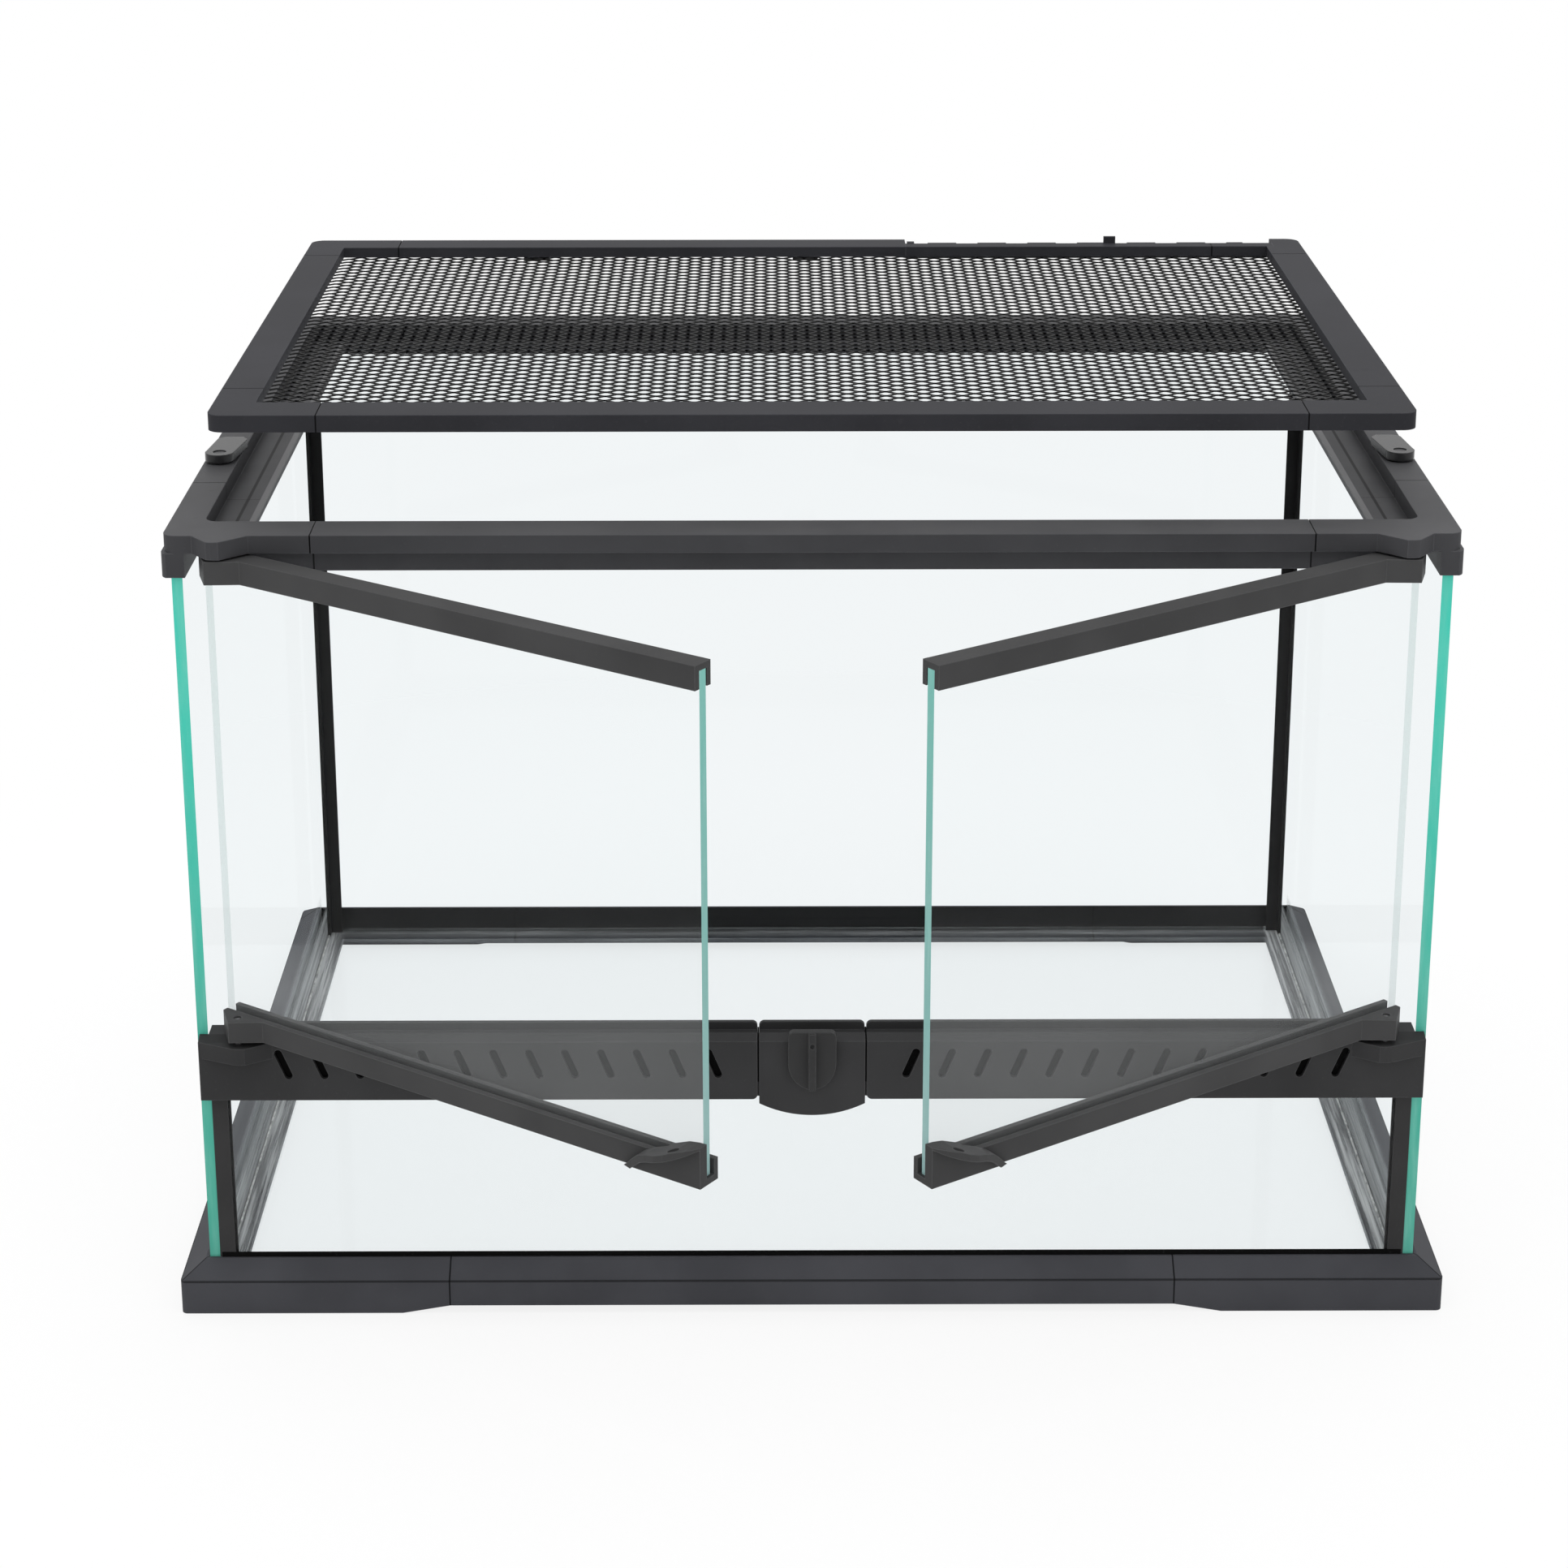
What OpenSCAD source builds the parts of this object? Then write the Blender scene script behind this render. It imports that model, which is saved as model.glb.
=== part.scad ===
// Front-opening glass terrarium: a glass tank held in a black base frame and
// top frame, two hinged front doors over a vented sill with a turn lock, and a
// lift-off mesh lid held by two turning latches.
// Units are millimetres. X runs to the right, Y to the back and Z up; the feet
// stand on z = 0 and the origin is the middle of the footprint with the doors
// standing open.

/* [Base frame] */
// Outer width of the base
base_w = 610; // [590:1:640]
// Outer depth of the base
base_d = 457; // [440:1:480]
// Height of the corner feet
foot_h = 4; // [3:0.5:6]
// Height of the upright outer face, from the floor
base_face_top = 17; // [14:0.5:19]
// Height of the whole base frame
base_top = 24; // [21:0.5:28]
// How far the slanted band leans in
slope_in = 11; // [9:0.5:11]
// Width of the lip behind the slanted band
lip_w = 1.6; // [1.2:0.1:1.8]
// Wall of the hollow base channel
base_wall = 2.5; // [2:0.1:3]
// Thickness of the ledge under the glass
ledge_t = 3; // [2.5:0.1:4]
// Reach of the ledge at the sides, from the outer face
ledge_side = 26; // [24:0.5:30]
// Reach of the ledge at the front and back
ledge_end = 20; // [19:0.5:24]
// Length of a corner piece along the width
base_leg_x = 130; // [110:1:150]
// Length of a corner piece along the depth
base_leg_y = 110; // [90:1:130]
// Length of the ramp at a foot's end
foot_ramp = 23; // [15:1:30]
// Radius of the upright outer corners
base_corner_r = 3; // [2:0.5:4]

/* [Glass] */
// Distance from the base's outer face to the glass
pane_inset = 13; // [12.9:0.1:14]
// Thickness of the tank's panes
pane_t = 5; // [4:0.5:6]
// Thickness of the floor pane
floor_t = 4; // [3:0.5:5]
// Height of the fixed front pane
front_pane_h = 111; // [105:1:112]
// Thickness of the door panes
door_glass_t = 4.5; // [3.5:0.1:5]
// Gap at the edges between one pane and the next
pane_gap = 0.5; // [0.4:0.1:1]
// Width of the strips in the tank's corners
strip_w = 8; // [6:0.5:9]
// Thickness of the corner strips
strip_t = 1.5; // [1:0.1:2]

/* [Top frame] */
// Height of the tank to the top of its frame
tank_h = 390; // [375:1:405]
// Height of the frame's upper tier
tier_h = 8.5; // [7.5:0.5:10]
// Height of the skirt that grips the glass
skirt_h = 11.5; // [10:0.5:13]
// Play above the glass inside the frame
glass_play = 1.5; // [1:0.1:2]
// How far the upper tier stands out past the glass
tier_out = 3; // [2:0.1:4]
// How far the skirt stands out past the upper tier
skirt_out = 1.3; // [0.8:0.1:2]
// Thickness of the skirt inside the glass
skirt_in = 1.7; // [1.2:0.1:1.9]
// Width of the frame's top at the sides
tier_side_w = 16; // [14:0.5:17]
// Width of the frame's top at the front and back
tier_end_w = 23; // [22.5:0.5:25]
// Reach of the lid's ledge into the opening at the sides
lid_ledge_side = 19; // [15:0.5:22]
// Reach of the lid's ledge at the front and back
lid_ledge_end = 12; // [9:0.5:15]
// Thickness of the lid's ledge
lid_ledge_t = 3; // [2:0.1:4]
// Length of a top corner piece along the width
top_leg_x = 67; // [60:1:80]
// Length of a top corner piece along the depth
top_leg_y = 88; // [75:1:100]
// Radius of the frame's corners
tier_r = 6; // [4:0.5:7]
// Thickness of the stop behind the doors' top rails
stop_t = 3.9; // [3:0.1:5]
// How far the stop ends short of the hinge axis
stop_end = 12.5; // [11.5:0.1:25]
// Width of the joint line between two frame pieces
seam_w = 0.4; // [0.3:0.1:0.8]
// Depth of the joint line
seam_d = 0.5; // [0.3:0.1:1]

/* [Doors] */
// How far the doors stand open
door_open = 35; // [30:0.5:80]
// Hinge axis, in from the frame's side face
hinge_in = 23.5; // [22:0.5:25]
// Hinge axis, out from the frame's front face
hinge_out = 3.4; // [3:0.1:3.8]
// Gap from each door to the middle
centre_gap = 1.2; // [1:0.1:3]
// Front face of the door rails, behind the hinge axis
rail_back = 2.4; // [2.1:0.1:2.6]
// Thickness of the door rails
rail_t = 11; // [10.5:0.1:11.2]
// Height of the top rails
top_rail_h = 11; // [9:0.5:12]
// Height of the bottom rails
bottom_rail_h = 10.5; // [9:0.5:12]
// Thickness of a rail's web and front leg
rail_wall = 3; // [2.5:0.1:3.2]
// Width of a rail's glass slot
glass_slot = 5.5; // [5.1:0.1:5.8]
// Gap above the doors
door_gap_top = 1; // [0.6:0.1:1.8]
// Gap below the doors
door_gap_bottom = 1; // [0.7:0.1:2]
// How far a hinge boss stands out in front of the axis
boss_out = 7.3; // [6.8:0.1:7.8]
// How far a hinge boss reaches past the axis
boss_past = 11.5; // [10.5:0.1:12.5]
// Radius of the hinge pins
pin_r = 1.75; // [1.5:0.05:2]
// Running clearance of a hinge pin in its door
pin_play = 0.08; // [0.05:0.01:0.1]
// Clearance of a hinge pin in the tank's frames
pin_seat = 0.03; // [0.02:0.01:0.05]
// Depth of a hinge pin in the frame
pin_hold = 6; // [5:0.5:7]

/* [Door pulls] */
// Width of a pull's solid body
pull_w = 18.5; // [16:0.5:21]
// Length of a pull with its tail
pull_run = 41.5; // [38:0.5:44]
// Height of a pull above the door's bottom edge
pull_h = 19.6; // [17:0.1:22]
// How far a pull's face stands out from the rails
pull_proud = 2; // [1.6:0.1:2.1]
// How far the finger plate stands out from that face
pull_out = 10; // [8:0.1:12]
// Radius of the hole in the finger plate
pull_hole_r = 2.6; // [2.2:0.1:2.8]
// Distance of that hole from the door's free edge
pull_hole_in = 10.5; // [9.5:0.1:12]
// How far the top rail and the glass end short of the pull
free_step = 1.8; // [1:0.1:3]

/* [Vent bars and lock] */
// Underside of the vent bars
bar_bottom = 110.3; // [108:0.1:114]
// Top of the vent bars' front lip
bar_top = 142; // [139:0.5:146]
// Front face of the bars, out from the glass
bar_out = 6.5; // [6:0.1:8]
// Width of the slope behind the front face
bar_lip_w = 6; // [5:0.5:6.5]
// Fall of that slope towards the front
bar_slope = 1.6; // [1:0.1:2.5]
// Depth of the groove under the doors
bar_groove = 2.2; // [1.5:0.1:3]
// Thickness of the bar's rear lip
bar_back_t = 2.1; // [1.5:0.1:2.5]
// Height of the bar's rear lip above the front lip
bar_back_h = 2; // [1.5:0.1:3]
// Wall of the vent bars
bar_wall = 2.5; // [2:0.1:2.8]
// Length of the solid block under a hinge
block_len = 31; // [29:0.5:36]
// How far the block bulges out under the hinge
block_out = 7.5; // [6.5:0.1:9]
// Height of that bulge
block_h = 8.4; // [7.5:0.1:9]
// Number of slots in a bar
slot_n = 13; // [9:1:13]
// First slot's middle from the hinge block
slot_first = 4.7; // [4.4:0.1:8]
// Last slot's middle from the bar's inner end
slot_last = 21; // [12:0.5:26]
// Width of a slot
slot_w = 3.8; // [3:0.1:4.5]
// Length of a slot
slot_len = 16; // [12:0.5:16]
// Tilt of the slots
slot_tilt = 22; // [15:1:25]
// Half width of the lock housing
lock_half = 25.2; // [24:0.1:26]
// Radius of the corners beside the lock housing
end_r = 2.5; // [1.5:0.5:3.5]
// Gap from the lock housing to each bar
lock_gap = 0.8; // [0.5:0.1:1.2]
// How far the tongue across that gap lies behind the sill's face
tongue_in = 1.2; // [0.8:0.1:1.5]
// Radius of the housing's curved underside
lock_arc_r = 54; // [46:1:70]
// Lowest point of the housing
lock_low = 101.9; // [99:0.1:104]
// Width of the turning plate
knob_w = 22.9; // [20:0.1:23]
// Thickness of the turning plate
knob_t = 3.6; // [3:0.1:4.5]
// Height of the turning axis
knob_z = 130; // [129:0.5:131]
// Plate's reach above the axis
knob_up = 16.8; // [16:0.1:19]
// Plate's reach below the axis
knob_down = 13; // [12:0.1:17]
// Radius of the plate's top corners
knob_r = 3; // [2:0.5:4]
// Width of the grip fin
fin_w = 3.3; // [2.8:0.1:4]
// Depth of the grip fin
fin_d = 4.6; // [3:0.1:6]
// Radius of the key pit
pit_r = 1.1; // [0.8:0.1:1.3]
// Radius of the lock's spindle
spindle_r = 3; // [2.5:0.1:3.5]
// Running clearance of the spindle
spindle_play = 0.06; // [0.04:0.01:0.1]
// Gap from the plate to the housing
knob_gap = 0.4; // [0.3:0.1:0.8]

/* [Lid] */
// Gap from the lid to the frame all round
lid_gap = 2.5; // [2:0.1:3]
// Height of the lid
lid_h = 8; // [7:0.1:9]
// Height the lid is lifted above its seat
lid_lift = 50; // [35:1:80]
// Width of the lid's side rails
lid_side_w = 19.5; // [18:0.5:22]
// Width of the lid's front rail
lid_front_w = 24; // [20:0.5:27]
// Width of the lid's rear rail
lid_rear_w = 20; // [19.5:0.5:23]
// Thickness of the lid's top and outer walls
lid_wall = 2; // [1.6:0.1:2.4]
// Radius of the lid's corners
lid_r = 7; // [5:0.5:9]
// Length of a lid corner piece along the width
lid_leg_x = 50; // [42:1:60]
// Length of a front lid corner piece along the depth
lid_leg_front = 50; // [42:1:60]
// Length of a rear lid corner piece along the depth
lid_leg_rear = 40; // [34:1:50]
// Underside of the mesh above the lid's underside
mesh_up = 1.4; // [1.2:0.1:1.8]
// Thickness of the mesh
mesh_t = 1; // [0.8:0.1:1.2]
// How far the mesh reaches under the rails
mesh_in = 2.6; // [2.1:0.1:3]
// Length of a mesh opening
mesh_long = 46; // [40:1:54]
// Width of a mesh opening
mesh_short = 31; // [26:1:36]
// Width of the mesh's strands
mesh_strand = 3; // [2.4:0.1:4]
// Radius of the screw bosses above the clips
clip_boss_r = 3; // [2.5:0.1:3.4]
// Width of a mesh clip
clip_w = 14; // [10:0.5:16]
// Thickness of a mesh clip
clip_t = 1.2; // [0.9:0.1:1.2]
// Distance of the outer clips from the middle
clip_at = 150; // [130:1:165]

/* [Cable inlet] */
// Right end of the cable inlet, in from the lid's side
inlet_in = 15.5; // [14:0.5:19]
// Length of the cable inlet
inlet_len = 205; // [199:1:211]
// Width of the full-height strip in front of the inlet
inlet_strip = 9; // [8:0.5:10]
// Thickness of the inlet's floor
inlet_floor = 3.2; // [2.8:0.1:3.6]
// Number of cable notches
notch_n = 7; // [4:1:7]
// Width of a cable notch
notch_w = 12; // [10:0.5:12.5]
// Distance from notch to notch
notch_pitch = 28; // [26:0.5:28.5]
// Depth of a cable notch
notch_d = 8; // [7:0.5:8.5]
// Height of the sliding cover
slider_h = 3; // [2.4:0.1:3.6]
// Gap from the cover to the strip
slider_gap = 0.4; // [0.3:0.1:0.8]
// Travel of the sliding cover
slider_travel = 14; // [12:0.5:15]
// Thumb tab, from the inlet's left end
tab_at = 111; // [105:1:120]
// Width of the thumb tab
tab_w = 6.5; // [5:0.5:8]
// Height of the thumb tab above the lid's top
tab_up = 3.5; // [2:0.1:5]

/* [Lid latches] */
// Latch pivot, in from the frame's side face
latch_in = 7.5; // [7.2:0.1:8]
// Latch pivot, in front of the middle
latch_front = 93; // [80:1:105]
// Length of a latch behind its pivot
latch_len = 28; // [22:0.5:32]
// Radius of a latch's pivot end
latch_r = 7; // [6.6:0.1:7.4]
// Thickness of a latch
latch_t = 4.1; // [3.4:0.1:4.5]
// Height of the latch above the frame
latch_up = 0.9; // [0.6:0.1:1.4]
// Radius of the latch's screw shank
screw_r = 1.65; // [1.4:0.05:1.8]
// Running clearance of the shank
screw_play = 0.06; // [0.04:0.01:0.1]
// Radius of the screw's head
head_r = 2.8; // [2.5:0.1:2.9]
// Height of the screw's head
head_h = 1.5; // [1.2:0.1:1.7]

/* [Hidden] */
$fn = 48;
eps = 0.01;
half_w = base_w / 2;
half_d = base_d / 2;
channel_in = slope_in + lip_w;
joint_x = half_w - base_leg_x;
joint_y = half_d - base_leg_y;
mitre = 40;
slope_rate = (base_top - base_face_top) / slope_in;
hollow_low = base_face_top - base_wall * 0.64;
hollow_high = hollow_low + (channel_in - 2 * base_wall) * slope_rate;
ledge_top = foot_h + ledge_t;
glass_x = half_w - pane_inset;
glass_y = half_d - pane_inset;
in_x = glass_x - pane_t;
in_y = glass_y - pane_t;
floor_top = ledge_top + floor_t;
tier_z = tank_h - tier_h;
skirt_z = tier_z - skirt_h;
glass_top = tier_z - glass_play;
front_pane_top = ledge_top + front_pane_h;
top_x = glass_x + tier_out;
top_y = glass_y + tier_out;
skirt_x = top_x + skirt_out;
skirt_y = top_y + skirt_out;
hold_x = in_x - skirt_in;
hold_y = in_y - skirt_in;
recess_x = top_x - tier_side_w;
recess_y = top_y - tier_end_w;
ledge_x = recess_x - lid_ledge_side;
ledge_y = recess_y - lid_ledge_end;
top_joint_x = top_x - top_leg_x;
top_joint_y = top_y - top_leg_y;
hinge_x = top_x - hinge_in;
hinge_y = -top_y - hinge_out;
rail_rear = rail_back + rail_t;
stop_y = hinge_y + rail_rear + 1;
stop_x = hinge_x - stop_end;
door_len = hinge_x - centre_gap;
door_z0 = bar_top + door_gap_bottom;
door_z1 = tier_z - door_gap_top;
slot_y = rail_back + rail_wall;
pull_x = door_len - pull_w;
pull_face = rail_back - pull_proud;
pull_top = door_z0 + pull_h;
bar_y = -glass_y - bar_out;
bar_floor = bar_top - bar_groove;
bar_rear = stop_y + bar_back_t;
bar_end = half_w - pane_inset - 1;
bar_start = lock_half + lock_gap;
block_x = in_x - 0.3 - block_len;
cell_low = front_pane_top + bar_wall;
cell_high = bar_floor - bar_wall;
slot_z = (cell_low + cell_high) / 2;
slot_pitch = (block_x - slot_first - bar_start - slot_last) / (slot_n - 1);
lid_x = recess_x - lid_gap;
lid_y = recess_y - lid_gap;
lid_z = tier_z + lid_lift;
hole_x = lid_x - lid_side_w;
hole_y0 = -lid_y + lid_front_w;
hole_y1 = lid_y - lid_rear_w;
mesh_x = hole_x + mesh_in;
mesh_y0 = hole_y0 - mesh_in;
mesh_y1 = hole_y1 + mesh_in;
mesh_top = mesh_up + mesh_t;
boss_off = mesh_in + 1 + clip_boss_r;
inlet_x1 = lid_x - inlet_in;
inlet_x0 = inlet_x1 - inlet_len;
strip_y = hole_y1 + inlet_strip;
slider_y0 = strip_y + slider_gap;
slider_x0 = inlet_x0 + 1;
slider_x1 = inlet_x1 - slider_travel - 1;
notch_x0 = inlet_x0 + 21;
latch_x = top_x - latch_in;
latch_z = tank_h + latch_up;
pull_low = [
  [-0.89, 0], [-0.795, 0.173], [-0.7, 0.337], [-0.571, 0.48], [-0.39, 0.622],
  [-0.212, 0.765], [-0.096, 0.857], [0, 0.95]
];
pull_up = [
  [0, 1], [-0.096, 0.99], [-0.217, 0.949], [-0.398, 0.796], [-0.59, 0.643],
  [-0.747, 0.48], [-0.867, 0.265], [-0.952, 0.082], [-1, 0]
];
pull_leaf = [
  [0, 0], [-0.05, 0.3], [-0.1, 0.55], [-0.2, 0.86], [-0.31, 1], [-0.44, 0.95],
  [-0.58, 0.75], [-0.72, 0.47], [-0.86, 0.2], [-1, 0]
];
front_reach = max([
  for (p = pull_leaf)
    (door_len + p[0] * pull_run) * sin(door_open)
      - (pull_face - p[1] * pull_out) * cos(door_open) - hinge_y
]);
shift_y = (front_reach - half_d) / 2;

// ---------------------------------------------------------------- helpers

// A box between two limits on each axis
module block(x0, x1, y0, y1, z0, z1) {
  translate([x0, y0, z0])
    cube([x1 - x0, y1 - y0, z1 - z0]);
}

// A rectangle with round corners, centred on the origin
module round_rect(w, d, r) {
  square([w - 2 * r, d], center = true);
  square([w, d - 2 * r], center = true);
  for (x = [-1, 1])
    for (y = [-1, 1])
      translate([x * (w / 2 - r), y * (d / 2 - r)])
        circle(r = r);
}

// A plan ring between two round rectangles
module ring(w, d, r, w2, d2, r2) {
  difference() {
    round_rect(w, d, r);
    round_rect(w2, d2, r2);
  }
}

// A slab of a plan shape between two heights
module slab(z0, z1) {
  translate([0, 0, z0])
    linear_extrude(z1 - z0)
      children();
}

// A (y, z) outline run along X
module run_x(x0, x1) {
  translate([x0, 0, 0])
    rotate([90, 0, 90])
      linear_extrude(x1 - x0)
        children();
}

// An (x, z) outline run along Y
module run_y(y0, y1) {
  translate([0, y1, 0])
    rotate([90, 0, 0])
      linear_extrude(y1 - y0)
        children();
}

module at_origin() {
  translate([0, shift_y, 0])
    children();
}

module flip_x() {
  mirror([1, 0, 0])
    children();
}

module flip_y() {
  mirror([0, 1, 0])
    children();
}

// ------------------------------------------------------------- base frame

// Section of the base channel as (inset, height)
module base_section() {
  polygon([
    [0, foot_h],
    [0, base_face_top],
    [slope_in, base_top],
    [channel_in, base_top],
    [channel_in, foot_h],
    [channel_in - base_wall, foot_h],
    [channel_in - base_wall, hollow_high],
    [base_wall, hollow_low],
    [base_wall, foot_h]
  ]);
}

// The front channel with its ends mitred
module base_front() {
  intersection() {
    translate([0, -half_d, 0])
      run_x(-half_w, half_w)
        base_section();
    slab(0, base_top + 1)
      polygon([
        [-half_w, -half_d],
        [half_w, -half_d],
        [half_w - mitre, -half_d + mitre],
        [-half_w + mitre, -half_d + mitre]
      ]);
  }
}

// The left channel with its ends mitred
module base_left() {
  intersection() {
    translate([-half_w, 0, 0])
      run_y(-half_d, half_d)
        base_section();
    slab(0, base_top + 1)
      polygon([
        [-half_w, -half_d],
        [-half_w + mitre, -half_d + mitre],
        [-half_w + mitre, half_d - mitre],
        [-half_w, half_d]
      ]);
  }
}

// The flat ledge that carries the glass
module base_ledge() {
  slab(foot_h, ledge_top)
    difference() {
      square([base_w - 2 * channel_in + 1, base_d - 2 * channel_in + 1], center = true);
      square([base_w - 2 * ledge_side, base_d - 2 * ledge_end], center = true);
    }
}

// A foot pad along both legs, each ending in a ramp
module foot_pad() {
  run_y(-half_d, -half_d + channel_in)
    polygon([
      [-half_w, 0],
      [-half_w, foot_h],
      [-joint_x, foot_h],
      [-joint_x - foot_ramp, 0]
    ]);
  run_x(-half_w, -half_w + channel_in)
    polygon([
      [-half_d, 0],
      [-half_d, foot_h],
      [-joint_y, foot_h],
      [-joint_y - foot_ramp, 0]
    ]);
}

// A right-angled block under two sloping tops that meet in a mitre
module corner_block(wall, low, high, run) {
  section = [[wall, 0], [wall, low], [run, high], [base_leg_x + base_leg_y, high],
    [base_leg_x + base_leg_y, 0]];
  intersection() {
    translate([0, -half_d, 0])
      run_x(-half_w, -joint_x)
        polygon(section);
    translate([-half_w, 0, 0])
      run_y(-half_d, -joint_y)
        polygon(section);
  }
}

// Everything further in than a given inset, from the corner's two faces
module inside_of(inset) {
  block(-half_w + inset, -joint_x + 1, -half_d + inset, -joint_y + 1, -1, base_top + 1);
}

// The channel round a corner, hollow along both legs
module corner_channel() {
  difference() {
    corner_block(0, base_face_top, base_top, slope_in);
    inside_of(channel_in);
    slab(-1, foot_h)
      square([base_w + 2, base_d + 2], center = true);
    difference() {
      corner_block(base_wall, hollow_low, hollow_high, channel_in - base_wall);
      inside_of(channel_in - base_wall);
    }
  }
}

module base_corner() {
  color([0.2, 0.2, 0.21])
    intersection() {
      union() {
        corner_channel();
        base_ledge();
        foot_pad();
      }
      slab(-1, base_top + 1)
        round_rect(base_w, base_d, base_corner_r);
      block(-half_w - 1, -joint_x, -half_d - 1, -joint_y, -1, base_top + 1);
    }
}

module base_rail_x() {
  color([0.2, 0.2, 0.21])
    intersection() {
      union() {
        base_front();
        base_ledge();
      }
      block(-joint_x, joint_x, -half_d - 1, -joint_y, 0, base_top + 1);
    }
}

module base_rail_y() {
  color([0.2, 0.2, 0.21])
    intersection() {
      union() {
        base_left();
        base_ledge();
      }
      block(-half_w - 1, -joint_x, -joint_y, joint_y, 0, base_top + 1);
    }
}

module base_corner_front_left() {
  at_origin()
    base_corner();
}

module base_corner_front_right() {
  at_origin()
    flip_x()
      base_corner();
}

module base_corner_rear_left() {
  at_origin()
    flip_y()
      base_corner();
}

module base_corner_rear_right() {
  at_origin()
    flip_x()
      flip_y()
        base_corner();
}

module base_rail_front() {
  at_origin()
    base_rail_x();
}

module base_rail_rear() {
  at_origin()
    flip_y()
      base_rail_x();
}

module base_rail_left() {
  at_origin()
    base_rail_y();
}

module base_rail_right() {
  at_origin()
    flip_x()
      base_rail_y();
}

// ------------------------------------------------------------------ glass

module floor_glass() {
  at_origin()
    color([0.75, 0.9, 0.88, 0.35])
      block(-in_x + pane_gap, in_x - pane_gap, -glass_y, glass_y, ledge_top, floor_top);
}

module side_pane() {
  color([0.75, 0.9, 0.88, 0.35])
    block(-glass_x, -in_x, -glass_y, glass_y, ledge_top, glass_top);
}

module side_glass_left() {
  at_origin()
    side_pane();
}

module side_glass_right() {
  at_origin()
    flip_x()
      side_pane();
}

module back_glass() {
  at_origin()
    color([0.75, 0.9, 0.88, 0.35])
      block(-in_x + pane_gap, in_x - pane_gap, in_y, glass_y, floor_top, glass_top);
}

module front_lower_glass() {
  at_origin()
    color([0.75, 0.9, 0.88, 0.35])
      block(-in_x + pane_gap, in_x - pane_gap, -glass_y, -in_y, floor_top, front_pane_top);
}

// An L-shaped strip in the left corner where two panes meet
module corner_strip(z1) {
  color([0.1, 0.1, 0.1])
    slab(floor_top, z1)
      polygon([
        [-in_x, -in_y],
        [-in_x + strip_w, -in_y],
        [-in_x + strip_w, -in_y + strip_t],
        [-in_x + strip_t, -in_y + strip_t],
        [-in_x + strip_t, -in_y + strip_w],
        [-in_x, -in_y + strip_w]
      ]);
}

module rear_strip_left() {
  at_origin()
    flip_y()
      corner_strip(skirt_z);
}

module rear_strip_right() {
  at_origin()
    flip_x()
      flip_y()
        corner_strip(skirt_z);
}

module front_strip_left() {
  at_origin()
    corner_strip(bar_bottom);
}

module front_strip_right() {
  at_origin()
    flip_x()
      corner_strip(bar_bottom);
}

// -------------------------------------------------------------- top frame

// Plan of the bulge over a hinge, measured from the axis and a front face, with
// its left face starting a distance from the axis
module bulge_plan(left, out) {
  polygon([
    [-left, 1],
    [-left, 0],
    [-2.2, -0.94 * out],
    [0, -out],
    [3.5, -out],
    [15.5, 0],
    [15.5, 1]
  ]);
}

// The whole top frame in one piece
module top_frame() {
  slab(tier_z, tank_h)
    difference() {
      union() {
        round_rect(2 * top_x, 2 * top_y, tier_r);
        translate([-hinge_x, -top_y])
          bulge_plan(10, 10.5);
        translate([hinge_x, -top_y])
          mirror([1, 0])
            bulge_plan(10, 10.5);
      }
      round_rect(2 * recess_x, 2 * recess_y, tier_r);
    }
  // skirt outside the glass, left out between the front ends
  slab(skirt_z, tier_z)
    difference() {
      round_rect(2 * skirt_x, 2 * skirt_y, tier_r);
      square([2 * glass_x, 2 * glass_y], center = true);
      translate([0, -glass_y - 10])
        square([2 * hold_x, 20], center = true);
      translate([0, -top_y - 10])
        square([2 * skirt_x + 2, 20], center = true);
    }
  // skirt inside the glass at the sides and back
  slab(skirt_z, tier_z)
    difference() {
      translate([-in_x, -glass_y])
        square([2 * in_x, glass_y + in_y]);
      translate([-hold_x, -glass_y - 1])
        square([2 * hold_x, glass_y + 1 + hold_y]);
    }
  // ledge for the lid
  slab(tier_z - lid_ledge_t, tier_z)
    difference() {
      translate([-hold_x - eps, stop_y + stop_t])
        square([2 * (hold_x + eps), hold_y - stop_y - stop_t + eps]);
      round_rect(2 * ledge_x, 2 * ledge_y, 4);
    }
  // stop behind the doors' top rails
  block(-stop_x, stop_x, stop_y, stop_y + stop_t + eps, skirt_z, tier_z);
}

// Joint lines cut across the top and the outer faces at the corner pieces
module top_seams() {
  for (x = [-top_joint_x, top_joint_x]) {
    block(x - seam_w / 2, x + seam_w / 2, -skirt_y - 1, skirt_y + 1,
      tank_h - seam_d, tank_h + 1);
    block(x - seam_w / 2, x + seam_w / 2, -top_y - 1, -top_y + seam_d,
      tier_z - 1, tank_h + 1);
    block(x - seam_w / 2, x + seam_w / 2, top_y - seam_d, skirt_y + 1,
      tier_z, tank_h + 1);
  }
  for (y = [-top_joint_y, top_joint_y]) {
    block(-skirt_x - 1, skirt_x + 1, y - seam_w / 2, y + seam_w / 2,
      tank_h - seam_d, tank_h + 1);
    for (x = [-1, 1])
      block(min(x * (top_x - seam_d), x * (skirt_x + 1)),
        max(x * (top_x - seam_d), x * (skirt_x + 1)),
        y - seam_w / 2, y + seam_w / 2, tier_z, tank_h + 1);
  }
}

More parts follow.
